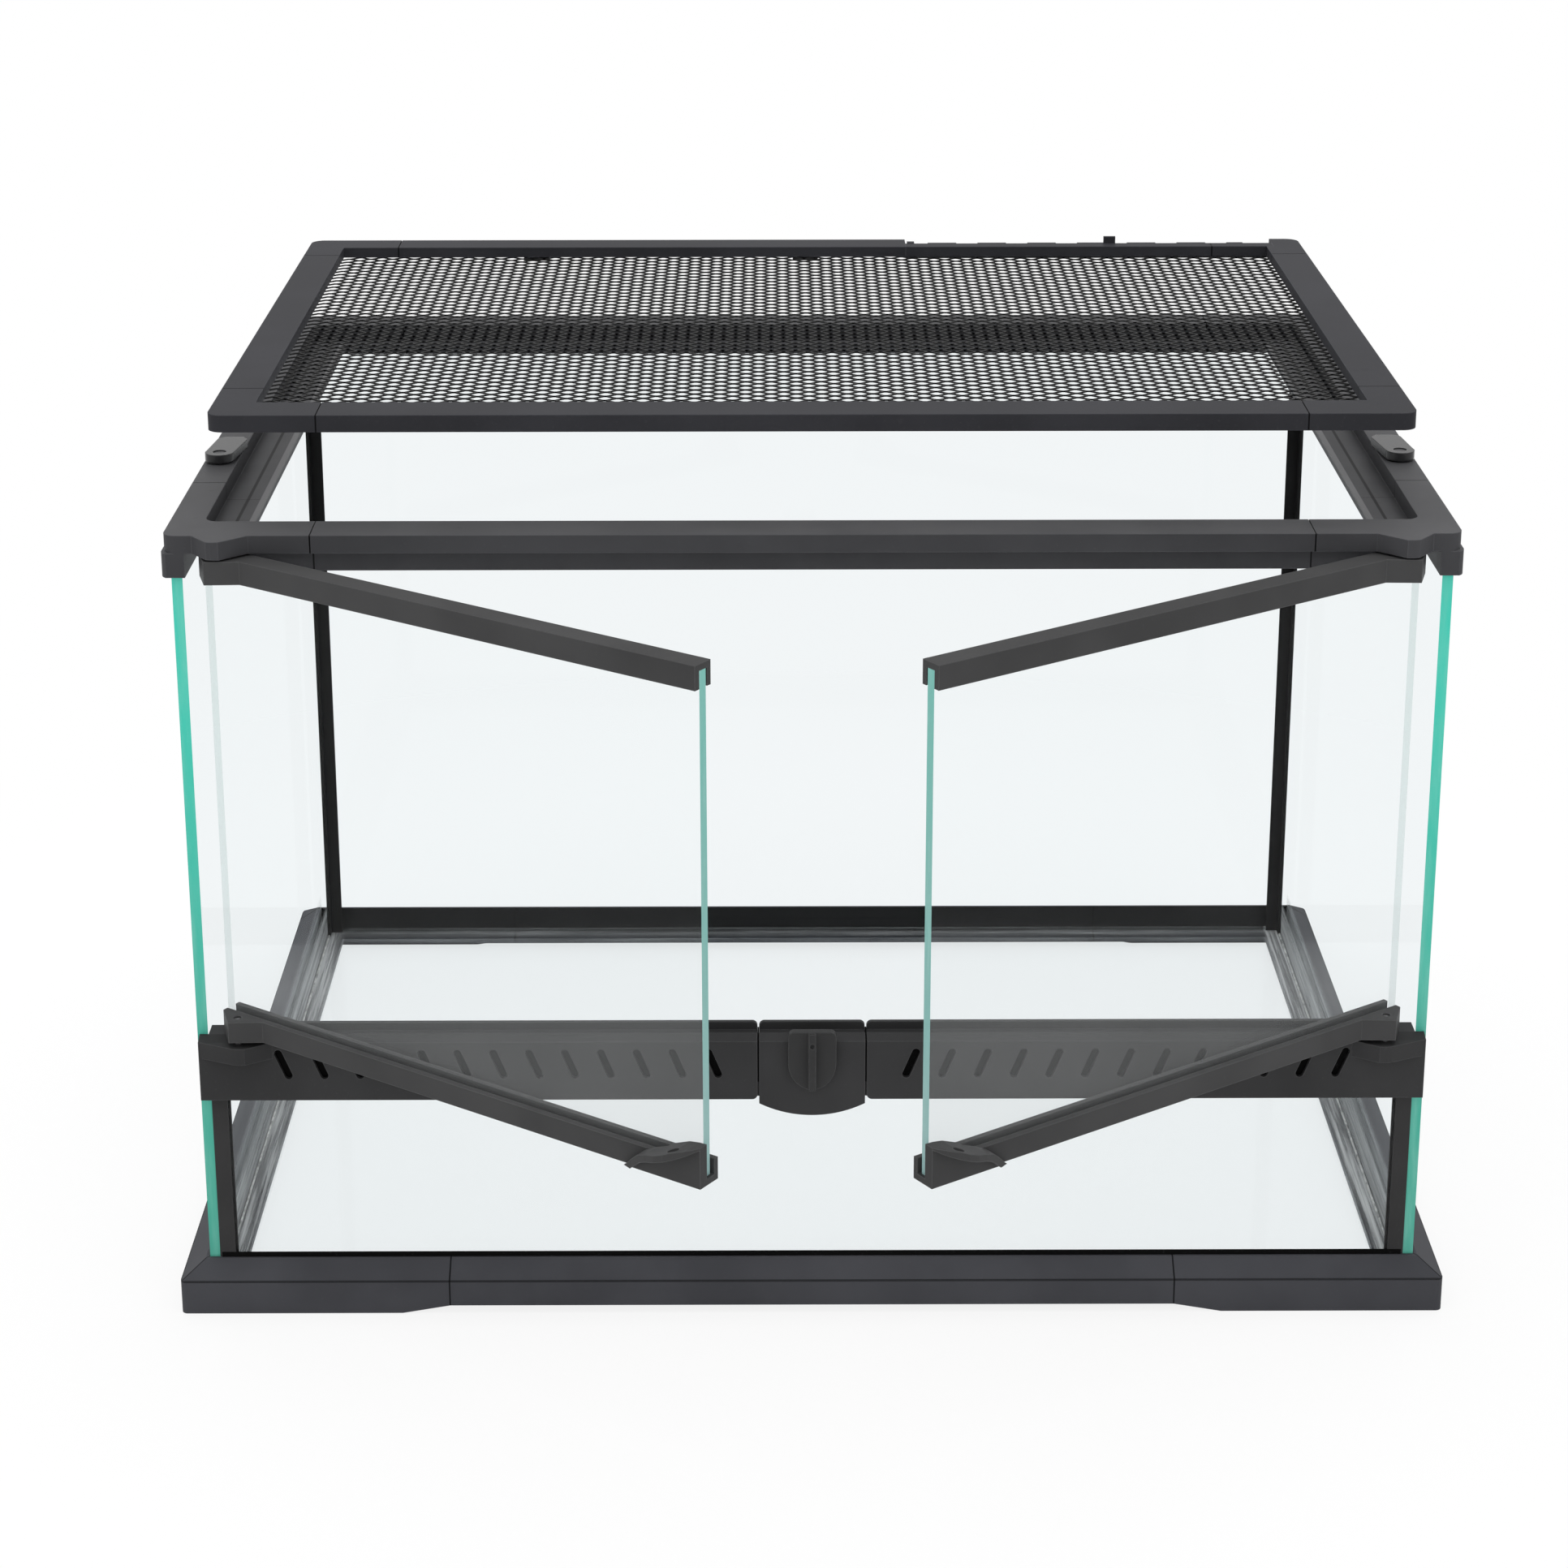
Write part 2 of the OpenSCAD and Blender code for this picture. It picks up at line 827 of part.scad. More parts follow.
// One part of the top frame, cut out by a box, with its holes
module top_part(x0, x1, y0, y1) {
  color([0.2, 0.2, 0.21])
    difference() {
      intersection() {
        top_frame();
        block(x0, x1, y0, y1, skirt_z - 1, tank_h + 1);
      }
      top_seams();
      for (x = [-hinge_x, hinge_x])
        translate([x, hinge_y, tier_z - 1])
          cylinder(r = pin_r + pin_seat, h = pin_hold + 1.1);
      for (x = [-latch_x, latch_x])
        translate([x, -latch_front, tank_h - 6])
          cylinder(r = screw_r + 0.02, h = 7);
    }
}

module top_corner_front_left() {
  at_origin()
    top_part(-skirt_x - 1, -top_joint_x, -skirt_y - 12, -top_joint_y);
}

module top_corner_front_right() {
  at_origin()
    top_part(top_joint_x, skirt_x + 1, -skirt_y - 12, -top_joint_y);
}

module top_corner_rear_left() {
  at_origin()
    top_part(-skirt_x - 1, -top_joint_x, top_joint_y, skirt_y + 1);
}

module top_corner_rear_right() {
  at_origin()
    top_part(top_joint_x, skirt_x + 1, top_joint_y, skirt_y + 1);
}

module top_rail_front() {
  at_origin()
    top_part(-top_joint_x, top_joint_x, -skirt_y - 12, -ledge_y + 1);
}

module top_rail_rear() {
  at_origin()
    top_part(-top_joint_x, top_joint_x, ledge_y - 1, skirt_y + 1);
}

module top_rail_left() {
  at_origin()
    top_part(-skirt_x - 1, -ledge_x + 1, -top_joint_y, top_joint_y);
}

module top_rail_right() {
  at_origin()
    top_part(ledge_x - 1, skirt_x + 1, -top_joint_y, top_joint_y);
}

// ------------------------------------------------------ vent bars and lock

// Section of a vent bar as (y, z), down to z0
module bar_front_section(z0) {
  polygon([
    [bar_y, z0],
    [bar_y, bar_top - bar_slope],
    [bar_y + bar_lip_w, bar_top],
    [-glass_y, bar_top - 0.1],
    [-glass_y, z0]
  ]);
}

module bar_rear_section(z0) {
  polygon([
    [-glass_y - eps, z0],
    [-glass_y - eps, bar_top - 0.1],
    [-glass_y, bar_top - 0.1],
    [-glass_y, bar_floor],
    [bar_rear, bar_floor],
    [bar_rear, z0]
  ]);
}

// A slanted slot outline at one place along the bar
module vent_slot() {
  rotate([0, 0, slot_tilt]) {
    square([slot_w, slot_len - slot_w], center = true);
    for (z = [-1, 1])
      translate([0, z * (slot_len - slot_w) / 2])
        circle(r = slot_w / 2);
  }
}

// The raised lip behind the doors' bottom rails
module bar_back_lip(x0, x1) {
  block(x0, x1, stop_y, bar_rear, bar_floor - eps, bar_top + bar_back_h);
}

// Front outline of a sill piece, from x0 to x1, with round corners at its ends
module end_window(x0, x1, z0, z1) {
  translate([x0 + end_r, z0])
    square([x1 - x0 - 2 * end_r, z1 - z0]);
  translate([x0, z0 + end_r])
    square([x1 - x0, z1 - z0 - 2 * end_r]);
  for (x = [x0 + end_r, x1 - end_r])
    for (z = [z0 + end_r, z1 - end_r])
      translate([x, z])
        circle(r = end_r);
}

// The left vent bar before its holes, with its solid block under the hinge
module bar_solid() {
  intersection() {
    union() {
      run_x(-bar_end, -bar_start)
        bar_front_section(bar_bottom);
      run_x(-in_x + 0.3, -bar_start)
        bar_rear_section(bar_bottom);
      bar_back_lip(-stop_x, -bar_start);
      block(-in_x + 0.3, -block_x, bar_y + bar_lip_w, bar_rear, bar_floor - eps, bar_top);
    }
    run_y(bar_y - 1, bar_rear + 1)
      end_window(-bar_end - 10, -bar_start, bar_bottom, bar_top + bar_back_h);
  }
  // tongue that reaches the lock housing
  block(-bar_start - 1, -lock_half, bar_y + tongue_in, bar_y + bar_lip_w,
    bar_bottom + tongue_in, bar_top - bar_slope - tongue_in);
  slab(bar_top - bar_slope - block_h, bar_top - bar_slope)
    translate([-hinge_x, bar_y])
      bulge_plan(18, block_out);
}

module vent_bar() {
  color([0.2, 0.2, 0.21])
    difference() {
      bar_solid();
      // room for the fixed front pane
      block(-in_x - 0.1, -bar_start + 1, -glass_y, -in_y, bar_bottom - 1, front_pane_top);
      // inside of the bar
      block(-block_x, -bar_start - bar_wall, bar_y + bar_wall, bar_rear - bar_wall,
        cell_low, cell_high);
      for (n = [0:slot_n - 1])
        translate([-block_x + slot_first + n * slot_pitch, 0, slot_z])
          rotate([90, 0, 0])
            translate([0, 0, -bar_rear - 1])
              linear_extrude(bar_rear - bar_y + 2)
                vent_slot();
      translate([-hinge_x, hinge_y, bar_top - 8])
        cylinder(r = pin_r + pin_seat, h = 10);
    }
}

module vent_bar_left() {
  at_origin()
    vent_bar();
}

module vent_bar_right() {
  at_origin()
    flip_x()
      vent_bar();
}

// Front outline of the lock housing as (x, z)
module housing_front() {
  translate([-lock_half, bar_bottom + 1])
    square([2 * lock_half, bar_top - bar_bottom - 1]);
  intersection() {
    translate([0, lock_low + lock_arc_r])
      circle(r = lock_arc_r, $fn = 120);
    translate([-lock_half, lock_low - 1])
      square([2 * lock_half, bar_bottom + 2.1 - lock_low]);
  }
}

module lock_housing() {
  at_origin()
    color([0.2, 0.2, 0.21])
      difference() {
        intersection() {
          union() {
            intersection() {
              run_x(-lock_half, lock_half)
                bar_front_section(lock_low - 1);
              run_y(bar_y - 1, -glass_y + 1)
                housing_front();
            }
            run_x(-lock_half, lock_half)
              bar_rear_section(bar_bottom);
            bar_back_lip(-lock_half, lock_half);
          }
          run_y(bar_y - 2, bar_rear + 1)
            end_window(-lock_half, lock_half, lock_low - 10, bar_top + bar_back_h);
        }
        block(-lock_half - 1, lock_half + 1, -glass_y, -in_y, lock_low - 2, front_pane_top);
        block(-lock_half + bar_wall, lock_half - bar_wall, bar_y + bar_wall,
          bar_rear - bar_wall, cell_low, cell_high);
        translate([0, bar_y - 1, knob_z])
          rotate([-90, 0, 0])
            cylinder(r = spindle_r + spindle_play, h = bar_wall + 2);
      }
}

// Plate outline about the turning axis: square top, tapering round bottom
module knob_plan() {
  half = knob_w / 2;
  translate([-half, 0])
    square([knob_w, knob_up - knob_r]);
  translate([-half + knob_r, 0])
    square([knob_w - 2 * knob_r, knob_up]);
  for (x = [-1, 1])
    translate([x * (half - knob_r), knob_up - knob_r])
      circle(r = knob_r);
  polygon([for (a = [0:9:180]) [-half * cos(a), 1 - (knob_down + 1) * sin(a)]]);
}

module lock_knob() {
  face = bar_y - knob_gap;
  front = face - knob_t;
  at_origin()
    color([0.2, 0.2, 0.21])
      difference() {
        union() {
          translate([0, 0, knob_z])
            run_y(front, face)
              knob_plan();
          run_x(-fin_w / 2, fin_w / 2)
            polygon([
              [front + 1, knob_z - knob_down + 0.4],
              [front - 0.5 * fin_d, knob_z - knob_down + 0.4],
              [front - 0.95 * fin_d, knob_z - 4],
              [front - fin_d, knob_z + 6],
              [front - 0.8 * fin_d, knob_z + knob_up - 6],
              [front - 0.3 * fin_d, knob_z + knob_up - 0.5],
              [front + 1, knob_z + knob_up - 0.5]
            ]);
        }
        translate([0, front - fin_d - 1, knob_z + 11])
          rotate([-90, 0, 0])
            cylinder(r = pit_r, h = 3);
      }
}

// Spindle with a round collar inside the housing
module lock_spindle() {
  at_origin()
    color([0.3, 0.3, 0.3])
      union() {
        translate([0, bar_y - knob_gap, knob_z])
          rotate([-90, 0, 0])
            cylinder(r = spindle_r, h = bar_wall + knob_gap + 2.5);
        translate([0, bar_y + bar_wall + 0.4, knob_z])
          rotate([-90, 0, 0])
            cylinder(r = spindle_r + 1.6, h = 2.1);
      }
}

// ------------------------------------------------------------------ doors

// A door is drawn closed with its hinge axis at the origin and its free edge
// towards +X, then turned open.
module left_place() {
  at_origin()
    translate([-hinge_x, hinge_y, 0])
      rotate([0, 0, -door_open])
        children();
}

module right_place() {
  at_origin()
    flip_x()
      translate([-hinge_x, hinge_y, 0])
        rotate([0, 0, -door_open])
          children();
}

// Plan of a rail with its hinge boss
module door_rail_plan(x1) {
  polygon([
    [rail_back * 5.6, rail_back],
    [0.5, -boss_out],
    [-boss_past, rail_back],
    [-boss_past, rail_rear],
    [x1, rail_rear],
    [x1, rail_back]
  ]);
}

module door_glass() {
  color([0.75, 0.9, 0.88, 0.35])
    block(-boss_past + 0.5, door_len - free_step, slot_y, slot_y + door_glass_t,
      door_z0 + rail_wall, door_z1 - rail_wall);
}

module door_top_rail() {
  color([0.2, 0.2, 0.21])
    difference() {
      slab(door_z1 - top_rail_h, door_z1)
        door_rail_plan(door_len - free_step);
      block(-boss_past - 1, door_len + 1, slot_y, slot_y + glass_slot,
        door_z1 - top_rail_h - 1, door_z1 - rail_wall);
      translate([0, 0, door_z1 - top_rail_h - 1])
        cylinder(r = pin_r + pin_play, h = top_rail_h + 2);
    }
}

module door_bottom_rail() {
  color([0.2, 0.2, 0.21])
    difference() {
      slab(door_z0, door_z0 + bottom_rail_h)
        door_rail_plan(pull_x);
      block(-boss_past - 1, door_len + 1, slot_y, slot_y + glass_slot,
        door_z0 + rail_wall, door_z0 + bottom_rail_h + 1);
      translate([0, 0, door_z0 - 1])
        cylinder(r = pin_r + pin_play, h = bottom_rail_h + 2);
    }
}

// Places a pull's (along, up) outline at the door's free bottom corner
module at_pull() {
  translate([door_len, door_z0])
    children();
}

// Face of a pull: a plate under an S-shaped edge that falls towards the hinge
module pull_plate() {
  at_pull()
    polygon([for (p = concat(pull_low, [[0, 0]])) [p[0] * pull_run, p[1] * pull_h]]);
}

// The curved finger plate seen from the front
module pull_ribbon() {
  at_pull()
    polygon([for (p = concat(pull_low, pull_up)) [p[0] * pull_run, p[1] * pull_h]]);
}

// Plan of the finger plate: a leaf in front of the rail
module pull_plan() {
  polygon(concat(
    [for (p = pull_leaf) [door_len + p[0] * pull_run, pull_face - p[1] * pull_out]],
    [
      [door_len - pull_run, rail_back],
      [pull_x, rail_back],
      [pull_x, slot_y],
      [door_len, slot_y]
    ]
  ));
}

// Pull at the free bottom corner: a clip round the glass, a face on the rail and
// a leaf-shaped finger plate that runs down into a tail
module door_pull() {
  color([0.2, 0.2, 0.21])
    difference() {
      union() {
        run_y(pull_face, rail_back)
          pull_plate();
        intersection() {
          run_y(rail_back - eps, slot_y)
            pull_plate();
          block(pull_x, door_len, rail_back - 1, slot_y, door_z0 - 1, pull_top + 1);
        }
        intersection() {
          run_y(pull_face - pull_out - 1, slot_y)
            pull_ribbon();
          slab(door_z0 - 1, pull_top + 1)
            pull_plan();
        }
        block(pull_x, door_len, slot_y - eps, rail_rear, door_z0, door_z0 + rail_wall);
        block(pull_x, door_len, slot_y + glass_slot, rail_rear,
          door_z0, door_z0 + bottom_rail_h);
      }
      translate([door_len - pull_hole_in, pull_face - 0.5 * pull_out, door_z0])
        cylinder(r = pull_hole_r, h = pull_h + 2);
    }
}

module left_door_glass() {
  left_place()
    door_glass();
}

module left_door_top_rail() {
  left_place()
    door_top_rail();
}

module left_door_bottom_rail() {
  left_place()
    door_bottom_rail();
}

module left_door_pull() {
  left_place()
    door_pull();
}

module right_door_glass() {
  right_place()
    door_glass();
}

module right_door_top_rail() {
  right_place()
    door_top_rail();
}

module right_door_bottom_rail() {
  right_place()
    door_bottom_rail();
}

module right_door_pull() {
  right_place()
    door_pull();
}

// A pin held in the top frame
module upper_pin(x) {
  at_origin()
    color([0.7, 0.7, 0.72])
      translate([x, hinge_y, door_z1 - top_rail_h + 1])
        cylinder(r = pin_r, h = tier_z + pin_hold - door_z1 + top_rail_h - 1);
}

// A pin held in a vent bar's block
module lower_pin(x) {
  at_origin()
    color([0.7, 0.7, 0.72])
      translate([x, hinge_y, bar_top - 8])
        cylinder(r = pin_r, h = door_z0 + bottom_rail_h - bar_top + 7.2);
}

module hinge_pin_upper_left() {
  upper_pin(-hinge_x);
}

module hinge_pin_upper_right() {
  upper_pin(hinge_x);
}

module hinge_pin_lower_left() {
  lower_pin(-hinge_x);
}

module hinge_pin_lower_right() {
  lower_pin(hinge_x);
}

// -------------------------------------------------------------------- lid

module at_lid() {
  translate([0, shift_y, lid_z])
    children();
}

// Plan of the lid's opening, grown by a margin
module lid_hole(more) {
  translate([-hole_x - more, hole_y0 - more])
    square([2 * (hole_x + more), hole_y1 - hole_y0 + 2 * more]);
}

// The lid's frame in one piece: top, outer wall, inner wall and screw bosses
module lid_frame() {
  slab(lid_h - lid_wall, lid_h)
    difference() {
      round_rect(2 * lid_x, 2 * lid_y, lid_r);
      lid_hole(0);
    }
  slab(0, lid_h - lid_wall / 2)
    ring(2 * lid_x, 2 * lid_y, lid_r, 2 * (lid_x - lid_wall), 2 * (lid_y - lid_wall),
      lid_r - lid_wall);
  slab(mesh_top, lid_h - lid_wall / 2)
    difference() {
      lid_hole(lid_wall);
      lid_hole(0);
    }
  for (p = clip_spots())
    translate([p[0] + p[2] * boss_off, p[1] + p[3] * boss_off, mesh_up])
      cylinder(r = clip_boss_r, h = lid_h - lid_wall / 2 - mesh_up);
}

// Clip places as [x, y, x direction, y direction] on the opening's edge
function clip_spots() = [
  [-clip_at, hole_y0, 0, -1],
  [clip_at, hole_y0, 0, -1],
  [0, hole_y0, 0, -1],
  [-clip_at, hole_y1, 0, 1],
  [0, hole_y1, 0, 1],
  [-hole_x, -60, -1, 0],
  [-hole_x, 80, -1, 0],
  [hole_x, -60, 1, 0],
  [hole_x, 80, 1, 0]
];

// Joint lines across the lid's top
module lid_seams() {
  for (x = [-lid_x + lid_leg_x, lid_x - lid_leg_x])
    block(x - seam_w / 2, x + seam_w / 2, -lid_y - 1, 0, lid_h - seam_d, lid_h + 1);
  block(-lid_x + lid_leg_x - seam_w / 2, -lid_x + lid_leg_x + seam_w / 2, 0, lid_y + 1,
    lid_h - seam_d, lid_h + 1);
  for (y = [-lid_y + lid_leg_front, lid_y - lid_leg_rear])
    block(-lid_x - 1, lid_x + 1, y - seam_w / 2, y + seam_w / 2, lid_h - seam_d, lid_h + 1);
}

module lid_part(x0, x1, y0, y1) {
  at_lid()
    color([0.2, 0.2, 0.21])
      difference() {
        intersection() {
          lid_frame();
          block(x0, x1, y0, y1, -1, lid_h + 1);
        }
        lid_seams();
      }
}

module lid_corner_front_left() {
  lid_part(-lid_x - 1, -lid_x + lid_leg_x, -lid_y - 1, -lid_y + lid_leg_front);
}

module lid_corner_front_right() {
  lid_part(lid_x - lid_leg_x, lid_x + 1, -lid_y - 1, -lid_y + lid_leg_front);
}

module lid_corner_rear_left() {
  lid_part(-lid_x - 1, -lid_x + lid_leg_x, lid_y - lid_leg_rear, lid_y + 1);
}

// This corner stops where the cable inlet begins
module lid_corner_rear_right() {
  at_lid()
    color([0.2, 0.2, 0.21])
      difference() {
        intersection() {
          lid_frame();
          block(hole_x - 1, lid_x + 1, lid_y - lid_leg_rear, lid_y + 1, -1, lid_h + 1);
        }
        block(hole_x - 2, inlet_x1, hole_y1, lid_y + 2, -2, lid_h + 2);
        lid_seams();
      }
}

module lid_rail_front() {
  lid_part(-lid_x + lid_leg_x, lid_x - lid_leg_x, -lid_y - 1, hole_y0 + 1);
}

module lid_rail_rear() {
  lid_part(-lid_x + lid_leg_x, inlet_x0, hole_y1 - 1, lid_y + 1);
}

module lid_rail_left() {
  lid_part(-lid_x - 1, -hole_x + 1, -lid_y + lid_leg_front, lid_y - lid_leg_rear);
}

module lid_rail_right() {
  lid_part(hole_x - 1, lid_x + 1, -lid_y + lid_leg_front, lid_y - lid_leg_rear);
}

// Cable inlet: a full-height strip in front of a low floor with open notches
module lid_cable_rail() {
  at_lid()
    color([0.2, 0.2, 0.21])
      difference() {
        union() {
          block(inlet_x0, inlet_x1, hole_y1, strip_y, mesh_top, lid_h);
          block(inlet_x0, inlet_x1, strip_y - 2, strip_y, 0, lid_h);
          block(inlet_x0, inlet_x1, strip_y - eps, lid_y, 0, inlet_floor);
        }
        for (n = [0:notch_n - 1])
          translate([notch_x0 + n * notch_pitch - notch_w / 2, lid_y - notch_d, -1])
            cube([notch_w, notch_d + 1, inlet_floor + 2]);
      }
}

// Sliding cover with the same notches half a pitch along, a hooked end, a low
// bump and a thumb tab
module cable_slider() {
  y0 = slider_y0;
  z0 = inlet_floor;
  z1 = inlet_floor + slider_h;
  at_lid()
    color([0.2, 0.2, 0.21])
      difference() {
        union() {
          block(slider_x0, slider_x1, y0, lid_y - 0.4, z0, z1);
          block(slider_x0, slider_x0 + 4, y0, y0 + 4, z0, lid_h + 0.3);
          block(slider_x0 + 6, slider_x0 + 16, y0, y0 + 2.2, z0, lid_h - 1);
          block(inlet_x0 + tab_at, inlet_x0 + tab_at + tab_w, y0, y0 + 2.2,
            z0, lid_h + tab_up);
        }
        for (n = [0:notch_n])
          translate([notch_x0 + (n - 0.5) * notch_pitch - notch_w / 2, lid_y - notch_d,
            z0 - 1])
            cube([notch_w, notch_d + 1, slider_h + 2]);
      }
}

// Flat mesh of long six-sided openings, with a plain border
module lid_mesh() {
  nx = floor(mesh_x / mesh_long * 2) + 1;
  ny = ceil((mesh_y1 - mesh_y0) / mesh_short / 2) + 1;
  a = mesh_long / 2 - mesh_strand / 2 * 1.2;
  b = mesh_short / 2 - mesh_strand / 2;
  c = a * 0.42;
  at_lid()
    color([0.1, 0.1, 0.1])
      slab(mesh_up, mesh_top)
        difference() {
          translate([-mesh_x, mesh_y0])
            square([2 * mesh_x, mesh_y1 - mesh_y0]);
          intersection() {
            lid_hole(-1);
            for (i = [-nx:nx])
              for (j = [-ny:ny])
                translate([
                  i * mesh_long * 0.72,
                  (mesh_y0 + mesh_y1) / 2 + (j + (i % 2 == 0 ? 0 : 0.5)) * mesh_short
                ])
                  polygon([[-a, 0], [-c, -b], [c, -b], [a, 0], [c, b], [-c, b]]);
          }
        }
}

module lid_mesh_clips() {
  at_lid()
    color([0.1, 0.1, 0.1])
      for (p = clip_spots())
        translate([p[0] + p[2] * boss_off, p[1] + p[3] * boss_off, mesh_up - clip_t])
          rotate([0, 0, p[2] == 0 ? 0 : 90])
            translate([-clip_w / 2, -boss_off + 1.2, 0])
              cube([clip_w, 2 * boss_off - 2.4, clip_t]);
}

// ------------------------------------------------------------ lid latches

// A latch at the right: a tapered plate that turns in over the lid
module latch() {
  color([0.2, 0.2, 0.21])
    difference() {
      union() {
        translate([0, 0, latch_up])
          linear_extrude(latch_t) {
            circle(r = latch_r);
            polygon([
              [-latch_r, -1],
              [-10.2, latch_len - 5],
              [-7.5, latch_len],
              [1.5, latch_len],
              [4.5, latch_len - 3],
              [latch_r, -1]
            ]);
          }
        cylinder(r = 4, h = latch_up + eps);
      }
      translate([0, 0, -1])
        cylinder(r = screw_r + screw_play, h = latch_up + latch_t + 2);
      translate([0, 0, latch_up + latch_t - head_h - 0.5])
        cylinder(r = head_r + 0.4, h = head_h + 1);
    }
}

// The screw a latch turns on
module latch_screw() {
  color([0.3, 0.3, 0.3]) {
    translate([0, 0, -6])
      cylinder(r = screw_r, h = 6 + latch_up + latch_t - head_h - 0.4 + eps);
    translate([0, 0, latch_up + latch_t - head_h - 0.4])
      cylinder(r = head_r, h = head_h);
  }
}

module at_latch() {
  at_origin()
    translate([latch_x, -latch_front, tank_h])
      children();
}

module at_left_latch() {
  at_origin()
    flip_x()
      translate([latch_x, -latch_front, tank_h])
        children();
}

module latch_right() {
  at_latch()
    latch();
}

module latch_left() {
  at_left_latch()
    latch();
}

module latch_screw_right() {
  at_latch()
    latch_screw();
}

module latch_screw_left() {
  at_left_latch()
    latch_screw();
}

// ------------------------------------------------------------------ nodes

base_corner_front_left();
base_corner_front_right();
base_corner_rear_left();
base_corner_rear_right();
base_rail_front();
base_rail_rear();
base_rail_left();
base_rail_right();
floor_glass();
side_glass_left();
side_glass_right();
back_glass();
front_lower_glass();
rear_strip_left();
rear_strip_right();
front_strip_left();
front_strip_right();
top_corner_front_left();
top_corner_front_right();
top_corner_rear_left();
top_corner_rear_right();
top_rail_front();
top_rail_rear();
top_rail_left();
top_rail_right();
vent_bar_left();
vent_bar_right();
lock_housing();
lock_knob();
lock_spindle();
left_door_glass();
left_door_top_rail();
left_door_bottom_rail();
left_door_pull();
right_door_glass();
right_door_top_rail();
right_door_bottom_rail();
right_door_pull();
hinge_pin_upper_left();
hinge_pin_lower_left();
hinge_pin_upper_right();
hinge_pin_lower_right();
lid_corner_front_left();
lid_corner_front_right();
lid_corner_rear_left();
lid_corner_rear_right();
lid_rail_front();
lid_rail_rear();
lid_rail_left();
lid_rail_right();
lid_cable_rail();
lid_mesh();
lid_mesh_clips();
cable_slider();
latch_left();
latch_right();
latch_screw_left();
latch_screw_right();
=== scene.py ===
"""Looks for a front-opening glass terrarium: materials, a fine expanded-metal
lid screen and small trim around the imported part. Metres, the part's own frame."""

import math

import bpy
from mathutils import Matrix, Vector


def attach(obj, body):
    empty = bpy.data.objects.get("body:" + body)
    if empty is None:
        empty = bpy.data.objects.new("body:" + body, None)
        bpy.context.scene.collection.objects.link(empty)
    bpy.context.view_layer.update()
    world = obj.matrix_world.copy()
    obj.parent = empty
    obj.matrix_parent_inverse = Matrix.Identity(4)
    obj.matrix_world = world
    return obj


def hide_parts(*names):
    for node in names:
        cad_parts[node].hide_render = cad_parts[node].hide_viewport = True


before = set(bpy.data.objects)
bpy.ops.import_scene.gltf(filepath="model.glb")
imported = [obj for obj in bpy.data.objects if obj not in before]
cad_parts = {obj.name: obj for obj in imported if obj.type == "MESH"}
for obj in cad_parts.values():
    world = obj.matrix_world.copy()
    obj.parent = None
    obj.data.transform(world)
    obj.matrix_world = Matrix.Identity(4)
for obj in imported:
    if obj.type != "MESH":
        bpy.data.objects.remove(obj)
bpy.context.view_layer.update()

# ------------------------------------------------------------------ sizes

MM = 0.001
SHIFT = 75.197 * MM  # tank centre, back from the origin

# base frame: half the footprint, foot of the slanted band, and the rear lip's
# face against the back pane
BASE_HALF_X = 305 * MM
BASE_HALF_Y = 228.5 * MM
FOLD_Z = 16.9 * MM
REAR_LIP_Y = 215.5 * MM
REAR_LIP_Z = 8 * MM

# the lid's ledge in the top frame: its bevelled lip, where a highlight is painted, and the groove
# along it, where shade is painted
LEDGE_Z = 381.5 * MM
LIP_X = 263 * MM
LIP_Y = 183.1 * MM
GROOVE_X = 268.8 * MM
GROOVE_Y = 188.5 * MM

# where the mouldings meet, in mm: |x| on the long rails, then y on the short ones
BASE_JOINTS = (175, -118.5, 118.5)
TOP_JOINTS = (228, -130.5, 130.5)
LID_JOINTS = (226.5, -143, 153)
JOINT_W = 0.5 * MM

# panes: doors as stored, face of the sill, heights between which a cut edge
# changes colour, where the ledges and the dirt start
DOOR_OPEN = math.radians(35)
SILL_Y = SHIFT - 222 * MM
EDGE_FOOT_Z = 20 * MM
EDGE_HEAD_Z = 370 * MM
RIM_X = 278 * MM
RIM_Y = 203 * MM
DIRT_Z = 30.5 * MM

# lid screen
LID_Z = 431.5 * MM
SCREEN_Z = LID_Z + 1.9 * MM
TUCK = 2 * MM  # how far the screen reaches into the lid's rim
HOLE_X = 257 * MM
HOLE_Y0 = -169 * MM + SHIFT
HOLE_Y1 = 173 * MM + SHIFT
CELLS = 43
POINTS_A_CELL = 4
ROWS = 88
STRAND_W = 0.95 * MM
STRAND_H = 0.64 * MM

# sealant beads along the floor pane's sides
BEAD_X = 286.2 * MM
BEAD_Z = 11.6 * MM
BEAD_HALF = 204 * MM
BEAD_R = 0.6 * MM
BEAD_WANDER = 0.5 * MM
BEAD_POINTS = 240

# thin plates, in mm from the tank centre
VENT_X = (29, 255)
VENT_Y = (-219.2, -218.9)
VENT_Z = (121, 137)
LOCK_GAP_X = (25.25, 25.95)
LOCK_GAP_Y = (-221, -206)
LOCK_GAP_Z = (119, 140.6)
SEAL_X = (279.5, 287)
SEAL_Y = (-215.9, -215.5)
SEAL_Z = (24, 110)
SEALANT_X = 286
SEALANT_Y = (-216.3, -215.55)
SEALANT_Z = (23.6, 26.4)

# studio floor, and the distances between which its shadow fades out
FLOOR_HALF = 12.0
FLOOR_Z = -0.0002
NEAR_FLOOR = 0.38
FAR_FLOOR = 0.8

